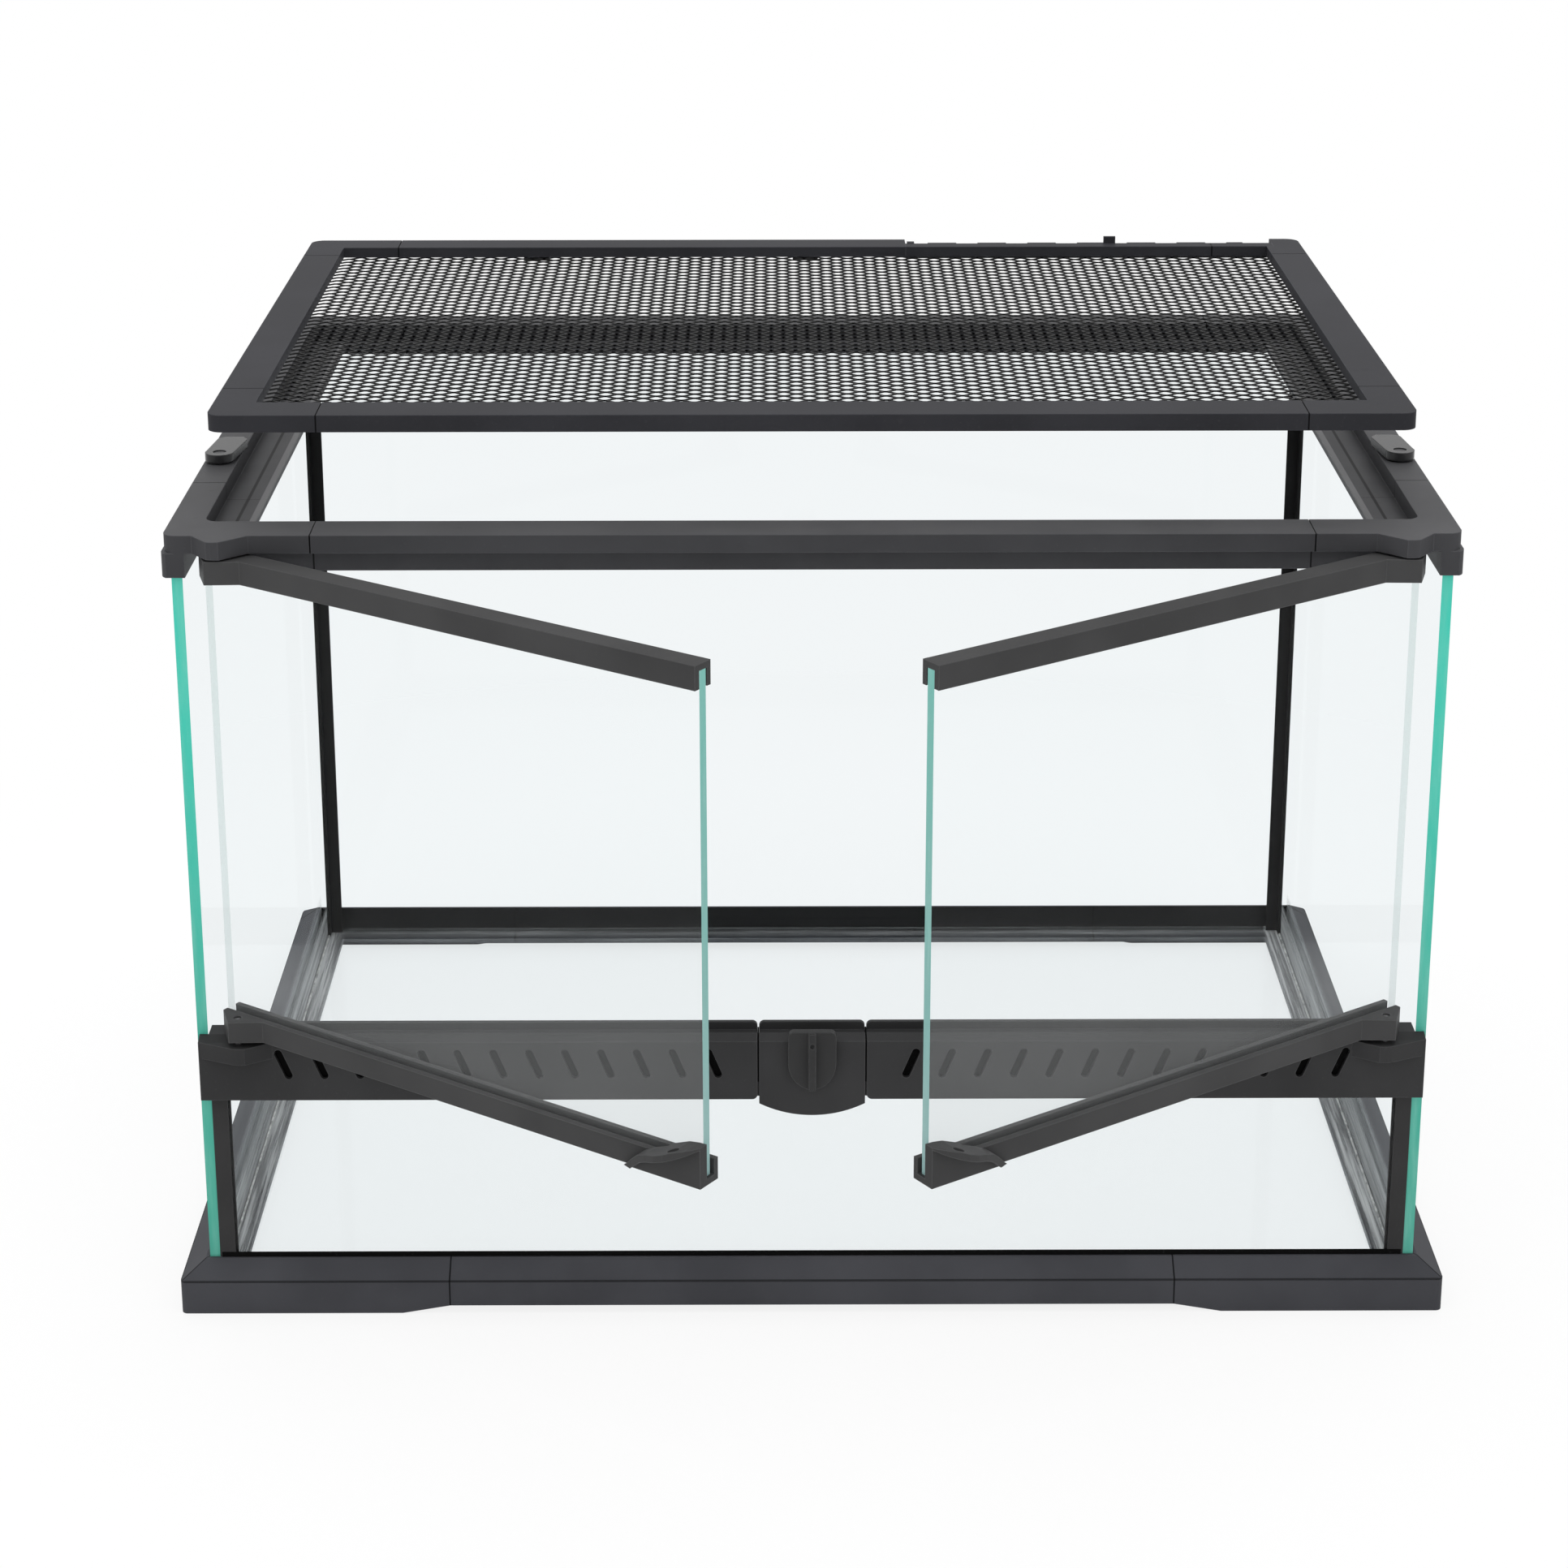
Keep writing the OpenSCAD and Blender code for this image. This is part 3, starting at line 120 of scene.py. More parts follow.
# camera: frame, lens and lens axis in pixels of a square frame, place, and
# turns in radians
FRAME_PX = 1932
MIDDLE_PX = 966
LENS_ROW_PX = 720
FOCAL_PX = 4243.05
SENSOR_MM = 36.0
EYE = (-16.91 * MM, -1711.94 * MM + SHIFT, 839.23 * MM)
LOOK_DOWN = 0.3066
LOOK_SIDE = -0.00256
ROLL = -0.00124

# ----------------------------------------------------------- shader maths


class Value:
    """A shader value that plain maths works on."""

    def __init__(self, shader, socket):
        self.shader = shader
        self.socket = socket

    def math(self, operation, *others):
        given = dict(enumerate((self, *others)))
        return self.shader.node("Math", "Value", given, operation=operation)

    def __add__(self, v):
        return self.math("ADD", v)

    def __sub__(self, v):
        return self.math("SUBTRACT", v)

    def __mul__(self, v):
        return self.math("MULTIPLY", v)

    def __rsub__(self, v):
        return self * -1.0 + v

    def __abs__(self):
        return self.math("ABSOLUTE")

    __radd__ = __add__
    __rmul__ = __mul__

    def ramp(self, lo, hi, start=0.0, end=1.0):
        """Goes smoothly from start to end between lo and hi."""
        return self.shader.node(
            "MapRange",
            "Result",
            {"Value": self, "From Min": lo, "From Max": hi, "To Min": start, "To Max": end},
            interpolation_type="SMOOTHSTEP",
        )


class Shader:
    """A shader tree under construction. node() makes every node but the output."""

    def __init__(self, owner, output):
        owner.use_nodes = True
        self.owner = owner
        self.tree = owner.node_tree
        self.tree.nodes.clear()
        self.out = self.tree.nodes.new(output)

    def node(self, kind, want, inputs=None, **settings):
        """Adds a node and gives the output that is wanted, or a list of them."""
        n = self.tree.nodes.new("ShaderNode" + kind)
        for key, v in settings.items():
            setattr(n, key, v)
        for key, v in (inputs or {}).items():
            if isinstance(v, Value):
                self.tree.links.new(v.socket, n.inputs[key])
            else:
                n.inputs[key].default_value = v
        if isinstance(want, tuple):
            return [Value(self, n.outputs[key]) for key in want]
        return Value(self, n.outputs[want])

    def finish(self, shader):
        self.tree.links.new(shader.socket, self.out.inputs["Surface"])
        return self.owner

    def backdrop_rays(self):
        """One for the rays that look at the backdrop, straight, off metal or
        through glass."""
        camera, glossy, passed = self.node(
            "LightPath", ("Is Camera Ray", "Is Glossy Ray", "Is Transmission Ray")
        )
        return camera.math("MAXIMUM", glossy).math("MAXIMUM", passed)


class Finish(Shader):
    """A material under construction, with the piece's own coordinates."""

    def __init__(self, name):
        super().__init__(bpy.data.materials.new(name), "ShaderNodeOutputMaterial")
        self.at = self.node("TexCoord", "Object")
        self.x, self.y, self.z = self.node("SeparateXYZ", ("X", "Y", "Z"), {"Vector": self.at})

    def noise(self, scale, detail=2.0, rough=0.5, squeeze=None):
        """Even noise, or strokes where squeeze shortens one coordinate."""
        at = self.at
        if squeeze:
            at = self.node("VectorMath", "Vector", {0: at, 1: squeeze}, operation="MULTIPLY")
        return self.node(
            "TexNoise", "Fac", {"Vector": at, "Scale": scale, "Detail": detail, "Roughness": rough}
        )

    def dot(self, a, b):
        return self.node("VectorMath", "Value", {0: a, 1: b}, operation="DOT_PRODUCT")

    def mix(self, share, a, b):
        """A colour mix."""
        return self.node("Mix", 2, {0: share, 6: a, 7: b}, data_type="RGBA")

    def blend(self, share, a, b):
        """A mix of two shaders."""
        return self.node("MixShader", "Shader", {0: share, 1: a, 2: b})

    def principled(self, inputs):
        return self.node("BsdfPrincipled", "BSDF", inputs)


def near(value, at, width):
    """One along the lines value = at, fading out over a width."""
    return abs(value - at).ramp(width * 0.5, width, 1.0, 0.0)


def under(value, limit, soft):
    """One where the value is under a limit, with a soft change at it."""
    return value.ramp(limit - soft, limit + soft, 1.0, 0.0)


def over(value, limit, soft):
    """One where the value is over a limit, with a soft change at it."""
    return value.ramp(limit - soft, limit + soft)


def display_colour(r, g, b):
    """A display colour, 0 to 255, as a linear one."""
    out = []
    for v in (r, g, b):
        v = v / 255
        out.append(v / 12.92 if v <= 0.04045 else ((v + 0.055) / 1.055) ** 2.4)
    return (*out, 1.0)


def scaled(colour, share, lift=0.0):
    """A colour made darker or lighter."""
    return tuple(v * share + lift for v in colour[:3]) + (1.0,)


# -------------------------------------------------------------- materials

WHITE = (1.0, 1.0, 1.0, 1.0)
LINE_BLACK = (0.001, 0.001, 0.001, 1.0)
# painted shade for the groove along the lid's ledge
GROOVE_SHADE_BLACK = (0.004, 0.004, 0.004, 1.0)
FOLD_BLACK = (0.006, 0.006, 0.006, 1.0)
# painted shade on the base's rear lip face
REAR_LIP_SHADE_BLACK = (0.012, 0.0115, 0.011, 1.0)
SPECK_GREY = (0.1, 0.1, 0.105, 1.0)
# painted light on the faces of the top frame that look up
TOP_LIGHT_GREY = (0.11, 0.11, 0.114, 1.0)
# painted highlight on the ledge's bevelled lip
LIP_HIGHLIGHT_GREY = (0.2, 0.2, 0.205, 1.0)
# the pale layer on the panes: dirt in the streaks, a painted reflection on the doors
DIRT_AND_REFLECTION_DARK = (0.8, 0.83, 0.84, 1.0)
DIRT_AND_REFLECTION_LIGHT = (0.9, 0.92, 0.93, 1.0)
# two faces of this tint give the tank's pale blue-grey
PALE = (0.942, 0.958, 0.963, 1.0)
CLEAR = (0.996, 0.999, 0.999, 1.0)
EDGE_LOW = display_colour(80, 172, 152)
EDGE_HIGH = display_colour(74, 208, 186)
DOOR_LOW = display_colour(158, 180, 183)
DOOR_HIGH = display_colour(122, 188, 178)
# the painted reflection on the doors: the slope of its upper edge, and its height at the sill
REFLECTION_SLOPE = 0.47
REFLECTION_FULL_Z = 165 * MM
REFLECTION_END_Z = 200 * MM


def plastic(name, colour, rough=0.5, joints=None, edge=0.7 * MM, ior=1.13, marks=None):
    """Moulded plastic: faint mottle, fine grain, painted highlights along the
    edges and dark joint lines, and whatever marks adds to the colour."""
    m = Finish(name)
    mottle = m.noise(14.0, 3.0)
    grain = m.noise(1900.0, 2.0, 0.6)
    speck = m.noise(700.0, 3.0, 0.7).ramp(0.6, 0.75)
    scuff = m.noise(90.0, 4.0, 0.7).ramp(0.62, 0.8)
    base = m.mix(mottle.ramp(0.3, 0.7), scaled(colour, 0.88), scaled(colour, 1.14))
    base = m.mix(speck * 0.16 + scuff * 0.08, base, SPECK_GREY)
    rounded = m.node("Bevel", "Normal", {"Radius": edge}, samples=4)
    flat = m.node("NewGeometry", "Normal")
    # painted highlight: the colour is lightened along the rounded edges
    edge_highlight = m.dot(rounded, flat).ramp(0.84, 0.995, 0.6, 0.0)
    base = m.mix(edge_highlight, base, scaled(colour, 3.2))
    if joints:
        across, *along = joints
        seam = near(abs(m.x), across * MM, JOINT_W)
        for y in along:
            seam = seam.math("MAXIMUM", near(m.y - SHIFT, y * MM, JOINT_W))
        base = m.mix(seam * 0.9, base, LINE_BLACK)
    if marks:
        base = marks(m, base)
    bump = m.node(
        "Bump",
        "Normal",
        {"Strength": 0.35, "Distance": 0.05 * MM, "Height": grain, "Normal": rounded},
    )
    return m.finish(
        m.principled(
            {
                "Base Color": base,
                "Roughness": (mottle * 0.1 + (rough - 0.05)) + scuff * 0.08,
                "IOR": ior,
                "Normal": bump,
            }
        )
    )


def ledge_marks(m, base):
    """The lid's ledge: painted shade for a groove along it and a painted highlight
    for its bevelled lip, and painted light in patches on all that faces up."""
    up = m.dot(m.node("TexCoord", "Normal"), (0, 0, 1))
    # painted light on the faces that look up, in patches
    top_light = up.ramp(0.85, 0.97) * m.noise(30.0, 3.0).ramp(0.3, 0.7, 0.3, 0.5)
    base = m.mix(top_light, base, TOP_LIGHT_GREY)
    wide = abs(m.x)
    deep = abs(m.y - SHIFT)
    level = abs(m.z - LEDGE_Z).ramp(0.2 * MM, 0.7 * MM, 1.0, 0.0)
    # painted highlight on the bevelled lip and painted shade for the groove
    lip = under(wide, LIP_X, 0.2 * MM) * under(deep, LIP_Y, 0.1 * MM)
    groove = near(wide, GROOVE_X, 1.0 * MM) * under(deep, GROOVE_Y, 0.5 * MM)
    base = m.mix(lip * level * 0.8, base, LIP_HIGHLIGHT_GREY)
    return m.mix(groove * level * 0.8, base, GROOVE_SHADE_BLACK)


def base_marks(m, base):
    """Dark lines at the foot of the slanted band and along its mitres, and
    painted shade on the rear lip's face."""
    corner = abs(m.x) - abs(m.y - SHIFT)
    fold = near(m.z, FOLD_Z, 0.6 * MM)
    mitre = near(corner, BASE_HALF_X - BASE_HALF_Y, 0.6 * MM) * over(m.z, 17 * MM, 0.2 * MM)
    # painted shade on the rear lip's face
    behind = near(m.y - SHIFT, REAR_LIP_Y, 1.2 * MM) * over(m.z, REAR_LIP_Z, 0.5 * MM)
    base = m.mix(behind * 0.9, base, REAR_LIP_SHADE_BLACK)
    return m.mix(fold.math("MAXIMUM", mitre) * 0.75, base, FOLD_BLACK)


def metal(name, colour, rough):
    """Plain or dark-finished metal with faint grime."""
    m = Finish(name)
    grime = m.noise(260.0, 3.0)
    return m.finish(
        m.principled(
            {
                "Base Color": m.mix(grime.ramp(0.3, 0.7), scaled(colour, 0.8), colour),
                "Metallic": 1.0,
                "Roughness": grime * 0.12 + rough,
                "Normal": m.node("Bevel", "Normal", {"Radius": 0.3 * MM}, samples=4),
            }
        )
    )


def glass(name, face, tint, shine, edges=None, painted_reflection=None, streaks=None):
    """A pane: clear on its broad faces. face is the pane's direction, shine a
    share of the full reflection. edges is the colour of the cut edges, low
    down and high up, and where they show. painted_reflection and streaks are
    shares of one pale layer: a painted reflection, and dirt."""
    m = Finish(name)
    broad = abs(m.dot(m.node("TexCoord", "Normal"), face)).ramp(0.5, 0.6)
    wave = m.noise(3.0, 1.0)
    ripple = m.node("Bump", "Normal", {"Strength": 0.05, "Distance": 0.4 * MM, "Height": wave})
    facing = m.node("LayerWeight", "Facing", {"Blend": 0.5, "Normal": ripple})
    fresnel = 0.04 + 0.96 * facing.math("POWER", 5.0)
    smear = m.noise(9.0, 4.0, 0.65).ramp(0.5, 0.9, 0.0, 0.004)
    through = m.node("BsdfTransparent", "BSDF", {"Color": tint})
    mirror = m.principled(
        {"Base Color": WHITE, "Metallic": 1.0, "Roughness": smear * 20.0 + 0.02, "Normal": ripple}
    )
    # one pale matte layer: dirt for the streaks, and a painted reflection on the doors
    dirt_and_reflection = m.principled({"Base Color": m.mix(wave, DIRT_AND_REFLECTION_DARK, DIRT_AND_REFLECTION_LIGHT), "Roughness": 0.9})
    pane = m.blend(fresnel * shine + smear, through, mirror)
    for layer in (painted_reflection, streaks):
        if layer:
            pane = m.blend(layer(m), pane, dirt_and_reflection)
    if not edges:
        return m.finish(m.blend(broad, m.blend(0.05, through, mirror), pane))
    low, high, where = edges
    streak = m.noise(260.0, 3.0, squeeze=(1.0, 1.0, 0.12)).ramp(0.3, 0.75)
    tone = m.mix(m.z.ramp(EDGE_FOOT_Z, EDGE_HEAD_Z), low, high)
    pale = m.mix(streak * 0.25, tone, scaled(high, 0.6, 0.3))
    side = m.principled({"Base Color": pale, "Roughness": streak * 0.1 + 0.2, "IOR": 1.2})
    return m.finish(m.blend(broad, m.blend(where(m), through, side), pane))


def low_streaks(m):
    """Dirt in long strokes along the bottom of a side pane."""
    strokes = m.noise(420.0, 4.0, 0.65, squeeze=(1.0, 0.02, 1.0))
    patches = m.noise(22.0, 2.0).ramp(0.35, 0.65, 0.8, 1.0)
    return strokes.ramp(0.3, 0.8, 0.24, 0.62) * patches * under(m.z, DIRT_Z, 3.5 * MM)


def rim_streaks(m):
    """The same over the ledges round the floor pane."""
    strokes = m.noise(420.0, 4.0, 0.65, squeeze=(1.0, 0.02, 1.0)).ramp(0.35, 0.75, 0.08, 0.6)
    cross = m.noise(330.0, 4.0, 0.65, squeeze=(0.05, 1.0, 1.0)).ramp(0.35, 0.75, 0.06, 0.2)
    sides = over(abs(m.x), RIM_X, 2 * MM)
    ends = over(abs(m.y - SHIFT), RIM_Y, 3 * MM)
    return sides * strokes + ends * cross


def door_reflection_paint(m):
    """A painted reflection on the lower part of an open door, in the pale layer
    that dirt uses. Its upper edge rises with the distance ahead of the sill,
    at the main camera's slope over the sill."""
    ahead = (SILL_Y - m.y) * REFLECTION_SLOPE
    return (m.z - ahead).ramp(REFLECTION_FULL_Z, REFLECTION_END_Z, 0.045, 0.0)


def front_edges(m):
    """A side pane's front edge is coloured, and its rear edge is left clear."""
    return m.y.ramp(-100 * MM, 0.0, 1.0, 0.0)


def free_edges(m):
    """A door's edge is coloured at its free end and fainter at its hinge."""
    return abs(m.x).ramp(150 * MM, 200 * MM, 1.0, 0.25)


base_black = plastic(
    "base_black", (0.062, 0.063, 0.0705, 1.0), joints=BASE_JOINTS, marks=base_marks
)
top_black = plastic(
    "top_black", (0.052, 0.0522, 0.056, 1.0), joints=TOP_JOINTS, ior=1.17, marks=ledge_marks
)
lid_black = plastic("lid_black", (0.034, 0.0342, 0.0388, 1.0), joints=LID_JOINTS, ior=1.11)
sill_black = plastic("sill_black", (0.042, 0.042, 0.043, 1.0))
door_black = plastic("door_black", (0.058, 0.058, 0.0588, 1.0), 0.46)
knob_black = plastic("knob_black", (0.04, 0.04, 0.0405, 1.0), 0.4, edge=0.9 * MM)
latch_black = plastic(
    "latch_black", (0.024, 0.024, 0.0252, 1.0), 0.25, edge=0.9 * MM, ior=1.3
)
strip_black = plastic(
    "strip_black", (0.014, 0.014, 0.0142, 1.0), 0.55, edge=0.3 * MM, ior=1.1
)
front_strip = plastic("front_strip_black", (0.042, 0.0415, 0.042, 1.0), edge=0.3 * MM)
mesh_black = plastic("mesh_black", (0.014, 0.0138, 0.014, 1.0), 0.4, edge=0.1 * MM, ior=1.2)
vent_black = plastic("vent_black", (0.006, 0.006, 0.006, 1.0), 0.8, edge=0.1 * MM, ior=1.05)
steel = metal("steel", (0.5, 0.5, 0.51, 1.0), 0.28)
dark_metal = metal("dark_metal", (0.06, 0.06, 0.065, 1.0), 0.35)

PANES = {
    "floor_glass": glass("glass_floor", (0, 0, 1), PALE, 0.1, streaks=rim_streaks),
    "side_glass": glass(
        "glass_side",
        (1, 0, 0),
        PALE,
        0.05,
        edges=(EDGE_LOW, EDGE_HIGH, front_edges),
        streaks=low_streaks,
    ),
    "back_glass": glass("glass_back", (0, 1, 0), PALE, 0.1),
    "front_lower_glass": glass("glass_front", (0, 1, 0), CLEAR, 0.1),
}
for side, sign in (("left", -1.0), ("right", 1.0)):
    PANES[side + "_door_glass"] = glass(
        "glass_door_" + side,
        (sign * math.sin(DOOR_OPEN), -math.cos(DOOR_OPEN), 0),
        CLEAR,
        0.1,
        edges=(DOOR_LOW, DOOR_HIGH, free_edges),
        # a painted reflection on the lower part of each door
        painted_reflection=door_reflection_paint,
    )

# the first word found in a piece's name gives its material
WORDS = (
    ("hinge_pin", steel),
    ("screw", dark_metal),
    ("lock_spindle", dark_metal),
    ("front_strip", front_strip),
    ("strip", strip_black),
    ("lock_knob", knob_black),
    ("mesh", mesh_black),
    ("door", door_black),
    ("latch", latch_black),
    ("base_", base_black),
    ("top_", top_black),
    ("lid_", lid_black),
    ("cable_", lid_black),
)


def dress(name):
    """The material of a CAD piece."""
    for start, mat in PANES.items():
        if name.startswith(start):
            return mat
    for word, mat in WORDS:
        if word in name:
            return mat
    return sill_black


for name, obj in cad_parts.items():
    for i in range(len(obj.data.materials)):
        obj.data.materials[i] = dress(name)

# --------------------------------------------------------- geometry nodes


class Geo:
    """A geometry node group under construction, with named sizes as inputs."""

    def __init__(self, name, **sizes):
        self.tree = bpy.data.node_groups.new(name, "GeometryNodeTree")
        face = self.tree.interface
        face.new_socket("Geometry", in_out="INPUT", socket_type="NodeSocketGeometry")
        for key, v in sizes.items():
            kind = "NodeSocketInt" if isinstance(v, int) else "NodeSocketFloat"
            face.new_socket(key, in_out="INPUT", socket_type=kind).default_value = v
        face.new_socket("Geometry", in_out="OUTPUT", socket_type="NodeSocketGeometry")
        self.given = self.tree.nodes.new("NodeGroupInput")
        self.last = self.tree.nodes.new("NodeGroupOutput")

    def get(self, key):
        return self.given.outputs[key]

    def node(self, kind, inputs=None, **settings):
        """Adds a node and gives its first output."""
        n = self.tree.nodes.new(kind)
        for key, v in settings.items():
            setattr(n, key, v)
        for key, v in (inputs or {}).items():
            if isinstance(v, bpy.types.NodeSocket):
                self.tree.links.new(v, n.inputs[key])
            else:
                n.inputs[key].default_value = v
        return n.outputs[0]

    def calc(self, operation, a, b=0.0):
        return self.node("ShaderNodeMath", {0: a, 1: b}, operation=operation)

    def times(self, a, b):
        return self.calc("MULTIPLY", a, b)

    def vec(self, x=0.0, y=0.0):
        return self.node("ShaderNodeCombineXYZ", {0: x, 1: y})

    def row_of_points(self, count, offset, start=(0, 0, 0)):
        return self.node(
            "GeometryNodeMeshLine", {"Count": count, "Start Location": start, "Offset": offset}
        )

    def moved(self, points, offset):
        return self.node("GeometryNodeSetPosition", {"Geometry": points, "Offset": offset})

    def swept(self, points, profile, **ends):
        """A profile drawn along a row of points."""
        curve = self.node("GeometryNodeMeshToCurve", {0: points})
        return self.node(
            "GeometryNodeCurveToMesh", {"Curve": curve, "Profile Curve": profile, **ends}
        )

    def bake(self, name, geometry, mat, at):
        """Realizes the geometry, gives it a material and returns a plain mesh
        object at the origin, with its place in its mesh."""
        real = self.node("GeometryNodeRealizeInstances", {0: geometry})
        done = self.node("GeometryNodeSetMaterial", {"Geometry": real, "Material": mat})
        self.tree.links.new(done, self.last.inputs[0])
        seed = bpy.data.meshes.new(name + "_seed")
        obj = bpy.data.objects.new(name, seed)
        bpy.context.collection.objects.link(obj)
        obj.modifiers.new("build", "NODES").node_group = self.tree
        bpy.context.view_layer.update()
        ready = obj.evaluated_get(bpy.context.evaluated_depsgraph_get())
        mesh = bpy.data.meshes.new_from_object(ready)
        obj.modifiers.clear()
        obj.data = mesh
        for v in mesh.vertices:
            v.co += Vector(at)
        return obj


def lid_screen():
    """Expanded metal: wavy strands along X that touch their neighbours at each
    bond, so every pair of rows makes a line of long six-sided openings."""
    x0 = -HOLE_X - TUCK
    x1 = HOLE_X + TUCK
    y0 = HOLE_Y0 - TUCK
    y1 = HOLE_Y1 + TUCK
    row = (y1 - y0) / ROWS
    g = Geo(
        "expanded_metal",
        Cell=(x1 - x0) / CELLS,
        Row=row,
        Points=POINTS_A_CELL * CELLS + 1,
        Rows=ROWS,
        Width=STRAND_W,
        Height=STRAND_H,
    )
    cell = g.get("Cell")
    index = g.node("GeometryNodeInputIndex")
    odd = g.calc("MODULO", index, 2.0)
    # four points a cell: a slope, one bond's length up, a slope, one bond's length down
    step = g.calc("DIVIDE", cell, float(POINTS_A_CELL))
    phase = g.calc("MODULO", index, float(POINTS_A_CELL))
    side = g.calc("SUBTRACT", 1.5, g.calc("ABSOLUTE", g.calc("SUBTRACT", phase, 1.5)))
    up_or_down = g.calc("SUBTRACT", g.times(side, 2.0), 1.0)
    nudge = g.times(odd, g.calc("DIVIDE", cell, 8.0))
    reach = g.times(g.get("Row"), 0.5)
    wave = g.moved(
        g.row_of_points(g.get("Points"), g.vec(x=step)),
        g.vec(x=nudge, y=g.times(up_or_down, reach)),
    )
    profile = g.node(
        "GeometryNodeCurvePrimitiveQuadrilateral",
        {"Width": g.get("Width"), "Height": g.get("Height")},
    )
    # every second strand sits half a cell along
    starts = g.moved(
        g.row_of_points(g.get("Rows"), g.vec(y=g.get("Row"))),
        g.vec(x=g.times(odd, g.times(cell, 0.5))),
    )
    many = g.node(
        "GeometryNodeInstanceOnPoints", {"Points": starts, "Instance": g.swept(wave, profile)}
    )
    obj = g.bake("lid_screen", many, mesh_black, (x0, y0 + row / 2, SCREEN_Z))
    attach(obj, "lid")
    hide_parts("lid_mesh")


def sealant():
    """Clear sealant with cloudy patches."""
    m = Finish("sealant")
    lumps = m.noise(240.0, 3.0)
    base = m.mix(lumps.ramp(0.3, 0.7), (0.3, 0.31, 0.31, 1.0), (0.62, 0.63, 0.62, 1.0))
    shiny = m.principled({"Base Color": base, "Roughness": lumps * 0.3 + 0.2})
    patch = m.noise(90.0, 3.0).ramp(0.3, 0.48, 0.3, 0.9)
    return m.finish(m.blend(patch, m.node("BsdfTransparent", "BSDF"), shiny))


def beads():
    """Sealant along the floor pane's sides: a soft, uneven bead."""
    mat = sealant()
    for name, x, place in (("sealant_left", -BEAD_X, 0.0), ("sealant_right", BEAD_X, 7.3)):
        g = Geo(
            name,
            Radius=BEAD_R,
            Half=BEAD_HALF,
            Points=BEAD_POINTS,
            Wander=BEAD_WANDER,
            Offset=place,
        )
        step = g.calc("DIVIDE", g.get("Half"), g.times(g.get("Points"), 0.5))
        start = g.vec(y=g.times(g.get("Half"), -1.0))
        line = g.row_of_points(g.get("Points"), g.vec(y=step), start)
        drift = g.node(
            "ShaderNodeTexNoise",
            {"W": g.get("Offset"), "Scale": 55.0, "Detail": 2.0},
            noise_dimensions="4D",
        )
        aside = g.times(g.calc("SUBTRACT", drift, 0.5), g.get("Wander"))
        ring = g.node(
            "GeometryNodeCurvePrimitiveCircle", {"Resolution": 8, "Radius": g.get("Radius")}
        )
        tube = g.swept(g.moved(line, g.vec(x=aside)), ring, **{"Fill Caps": True})
        obj = g.bake(name, tube, mat, (x, SHIFT, BEAD_Z))
        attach(obj, "tank")


# ------------------------------------------------------------ thin plates


def mesh_object(name, points, faces, mat):
    mesh = bpy.data.meshes.new(name)
    mesh.from_pydata(points, [], faces)
    mesh.materials.append(mat)
    obj = bpy.data.objects.new(name, mesh)
    bpy.context.collection.objects.link(obj)
    return obj


def plate(name, mat, xs, ys, zs):
    """A thin plain plate on the tank, from its ends in mm, tank centred."""
    xs = [v * MM for v in sorted(xs)]
    ys = [v * MM + SHIFT for v in ys]
    zs = [v * MM for v in zs]
    points = [(x, y, z) for x in xs for y in ys for z in zs]
    faces = [(0, 1, 3, 2), (4, 6, 7, 5), (0, 4, 5, 1), (2, 3, 7, 6), (0, 2, 6, 4), (1, 5, 7, 3)]
    obj = mesh_object(name, points, faces, mat)
    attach(obj, "tank")


def plate_pair(name, mat, xs, ys, zs):
    """A plate on the left and its mirror image on the right."""
    for side, sign in (("left", -1), ("right", 1)):
        plate(name + "_" + side, mat, [sign * x for x in xs], ys, zs)


lid_screen()
beads()
# dark gauze behind the sill's slots, dark joints at the lock, seals in the
# front corners and dark sealant at the foot of the front pane
plate_pair("vent_gauze", vent_black, VENT_X, VENT_Y, VENT_Z)
plate_pair("lock_joint", vent_black, LOCK_GAP_X, LOCK_GAP_Y, LOCK_GAP_Z)
plate_pair("corner_seal", front_strip, SEAL_X, SEAL_Y, SEAL_Z)
plate(
    "front_sealant", vent_black, (-SEALANT_X, SEALANT_X), SEALANT_Y, SEALANT_Z
)

# ------------------------------------------------------- floor and lights


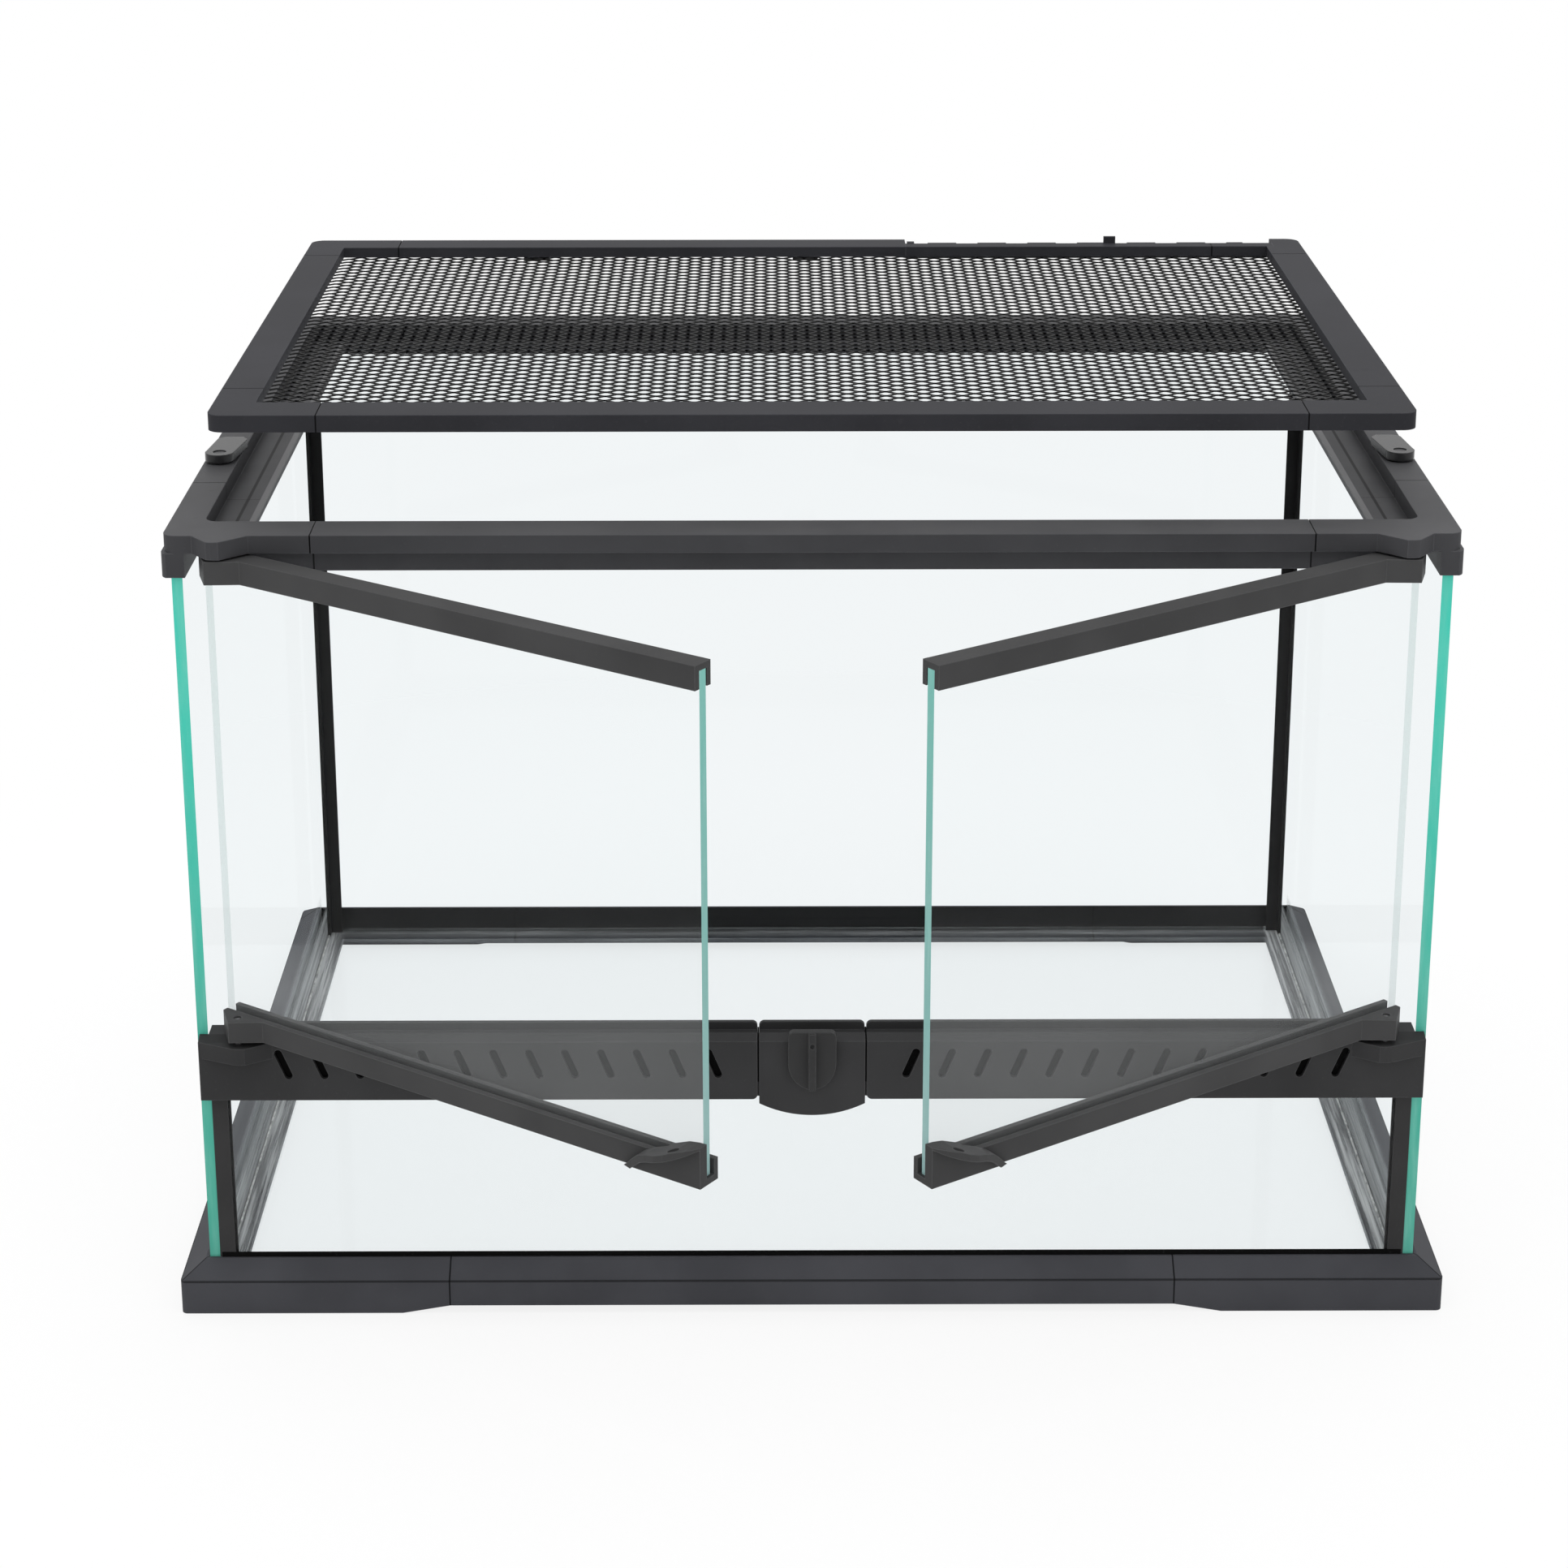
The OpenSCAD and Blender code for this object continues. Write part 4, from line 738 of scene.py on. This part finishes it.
def studio_floor():
    """A white floor. Near the tank it keeps part of the shadow, and further out
    it is as white as the backdrop."""
    m = Finish("studio_floor")
    base = m.mix(m.noise(1.5), scaled(WHITE, 0.93), scaled(WHITE, 0.95))
    dull = m.principled({"Base Color": base, "Roughness": 0.9, "IOR": 1.1})
    white = m.node("Emission", "Emission", {"Color": WHITE, "Strength": 1.0})
    distance = m.node("VectorMath", "Value", {0: m.at}, operation="LENGTH")
    away = distance.ramp(NEAR_FLOOR, FAR_FLOOR, 0.84, 1.0)
    mat = m.finish(m.blend(m.backdrop_rays() * away, dull, white))
    corners = ((-1, -1), (1, -1), (1, 1), (-1, 1))
    points = [(x * FLOOR_HALF, y * FLOOR_HALF, FLOOR_Z) for x, y in corners]
    mesh_object("studio_floor", points, [(0, 1, 2, 3)], mat)


def studio_world():
    """White all round, a little less bright for the light that it gives."""
    world = bpy.data.worlds.new("studio")
    bpy.context.scene.world = world
    w = Shader(world, "ShaderNodeOutputWorld")
    strength = w.backdrop_rays() * 0.15 + 0.85
    w.finish(w.node("Background", "Background", {"Color": WHITE, "Strength": strength}))


def overhead_light():
    """A wide soft panel above, aimed a little forwards."""
    light = bpy.data.lights.new("overhead", "AREA")
    light.shape = "RECTANGLE"
    light.size = 3.0
    light.size_y = 3.0
    light.energy = 34.0
    obj = bpy.data.objects.new("overhead", light)
    obj.location = (0.0, 0.3, 2.6)
    aim = Vector((0.0, 0.1, 0.0))
    obj.rotation_euler = (aim - obj.location).to_track_quat("-Z", "Y").to_euler()
    obj.visible_camera = False
    obj.visible_glossy = False
    bpy.context.collection.objects.link(obj)


def camera():
    """The main view, a little above the tank."""
    cam = bpy.data.cameras.new("camera")
    cam.sensor_width = SENSOR_MM
    cam.lens = FOCAL_PX / FRAME_PX * SENSOR_MM
    cam.shift_y = -(MIDDLE_PX - LENS_ROW_PX) / FRAME_PX
    cam.clip_start = 0.05
    cam.clip_end = 60.0
    eye = bpy.data.objects.new("camera", cam)
    eye.location = EYE
    eye.rotation_euler = (
        Matrix.Rotation(LOOK_SIDE, 3, "Z")
        @ Matrix.Rotation(math.pi / 2 - LOOK_DOWN, 3, "X")
        @ Matrix.Rotation(ROLL, 3, "Z")
    ).to_euler()
    bpy.context.collection.objects.link(eye)
    bpy.context.scene.camera = eye


studio_floor()
studio_world()
overhead_light()
camera()
bpy.context.scene.view_settings.view_transform = "Standard"
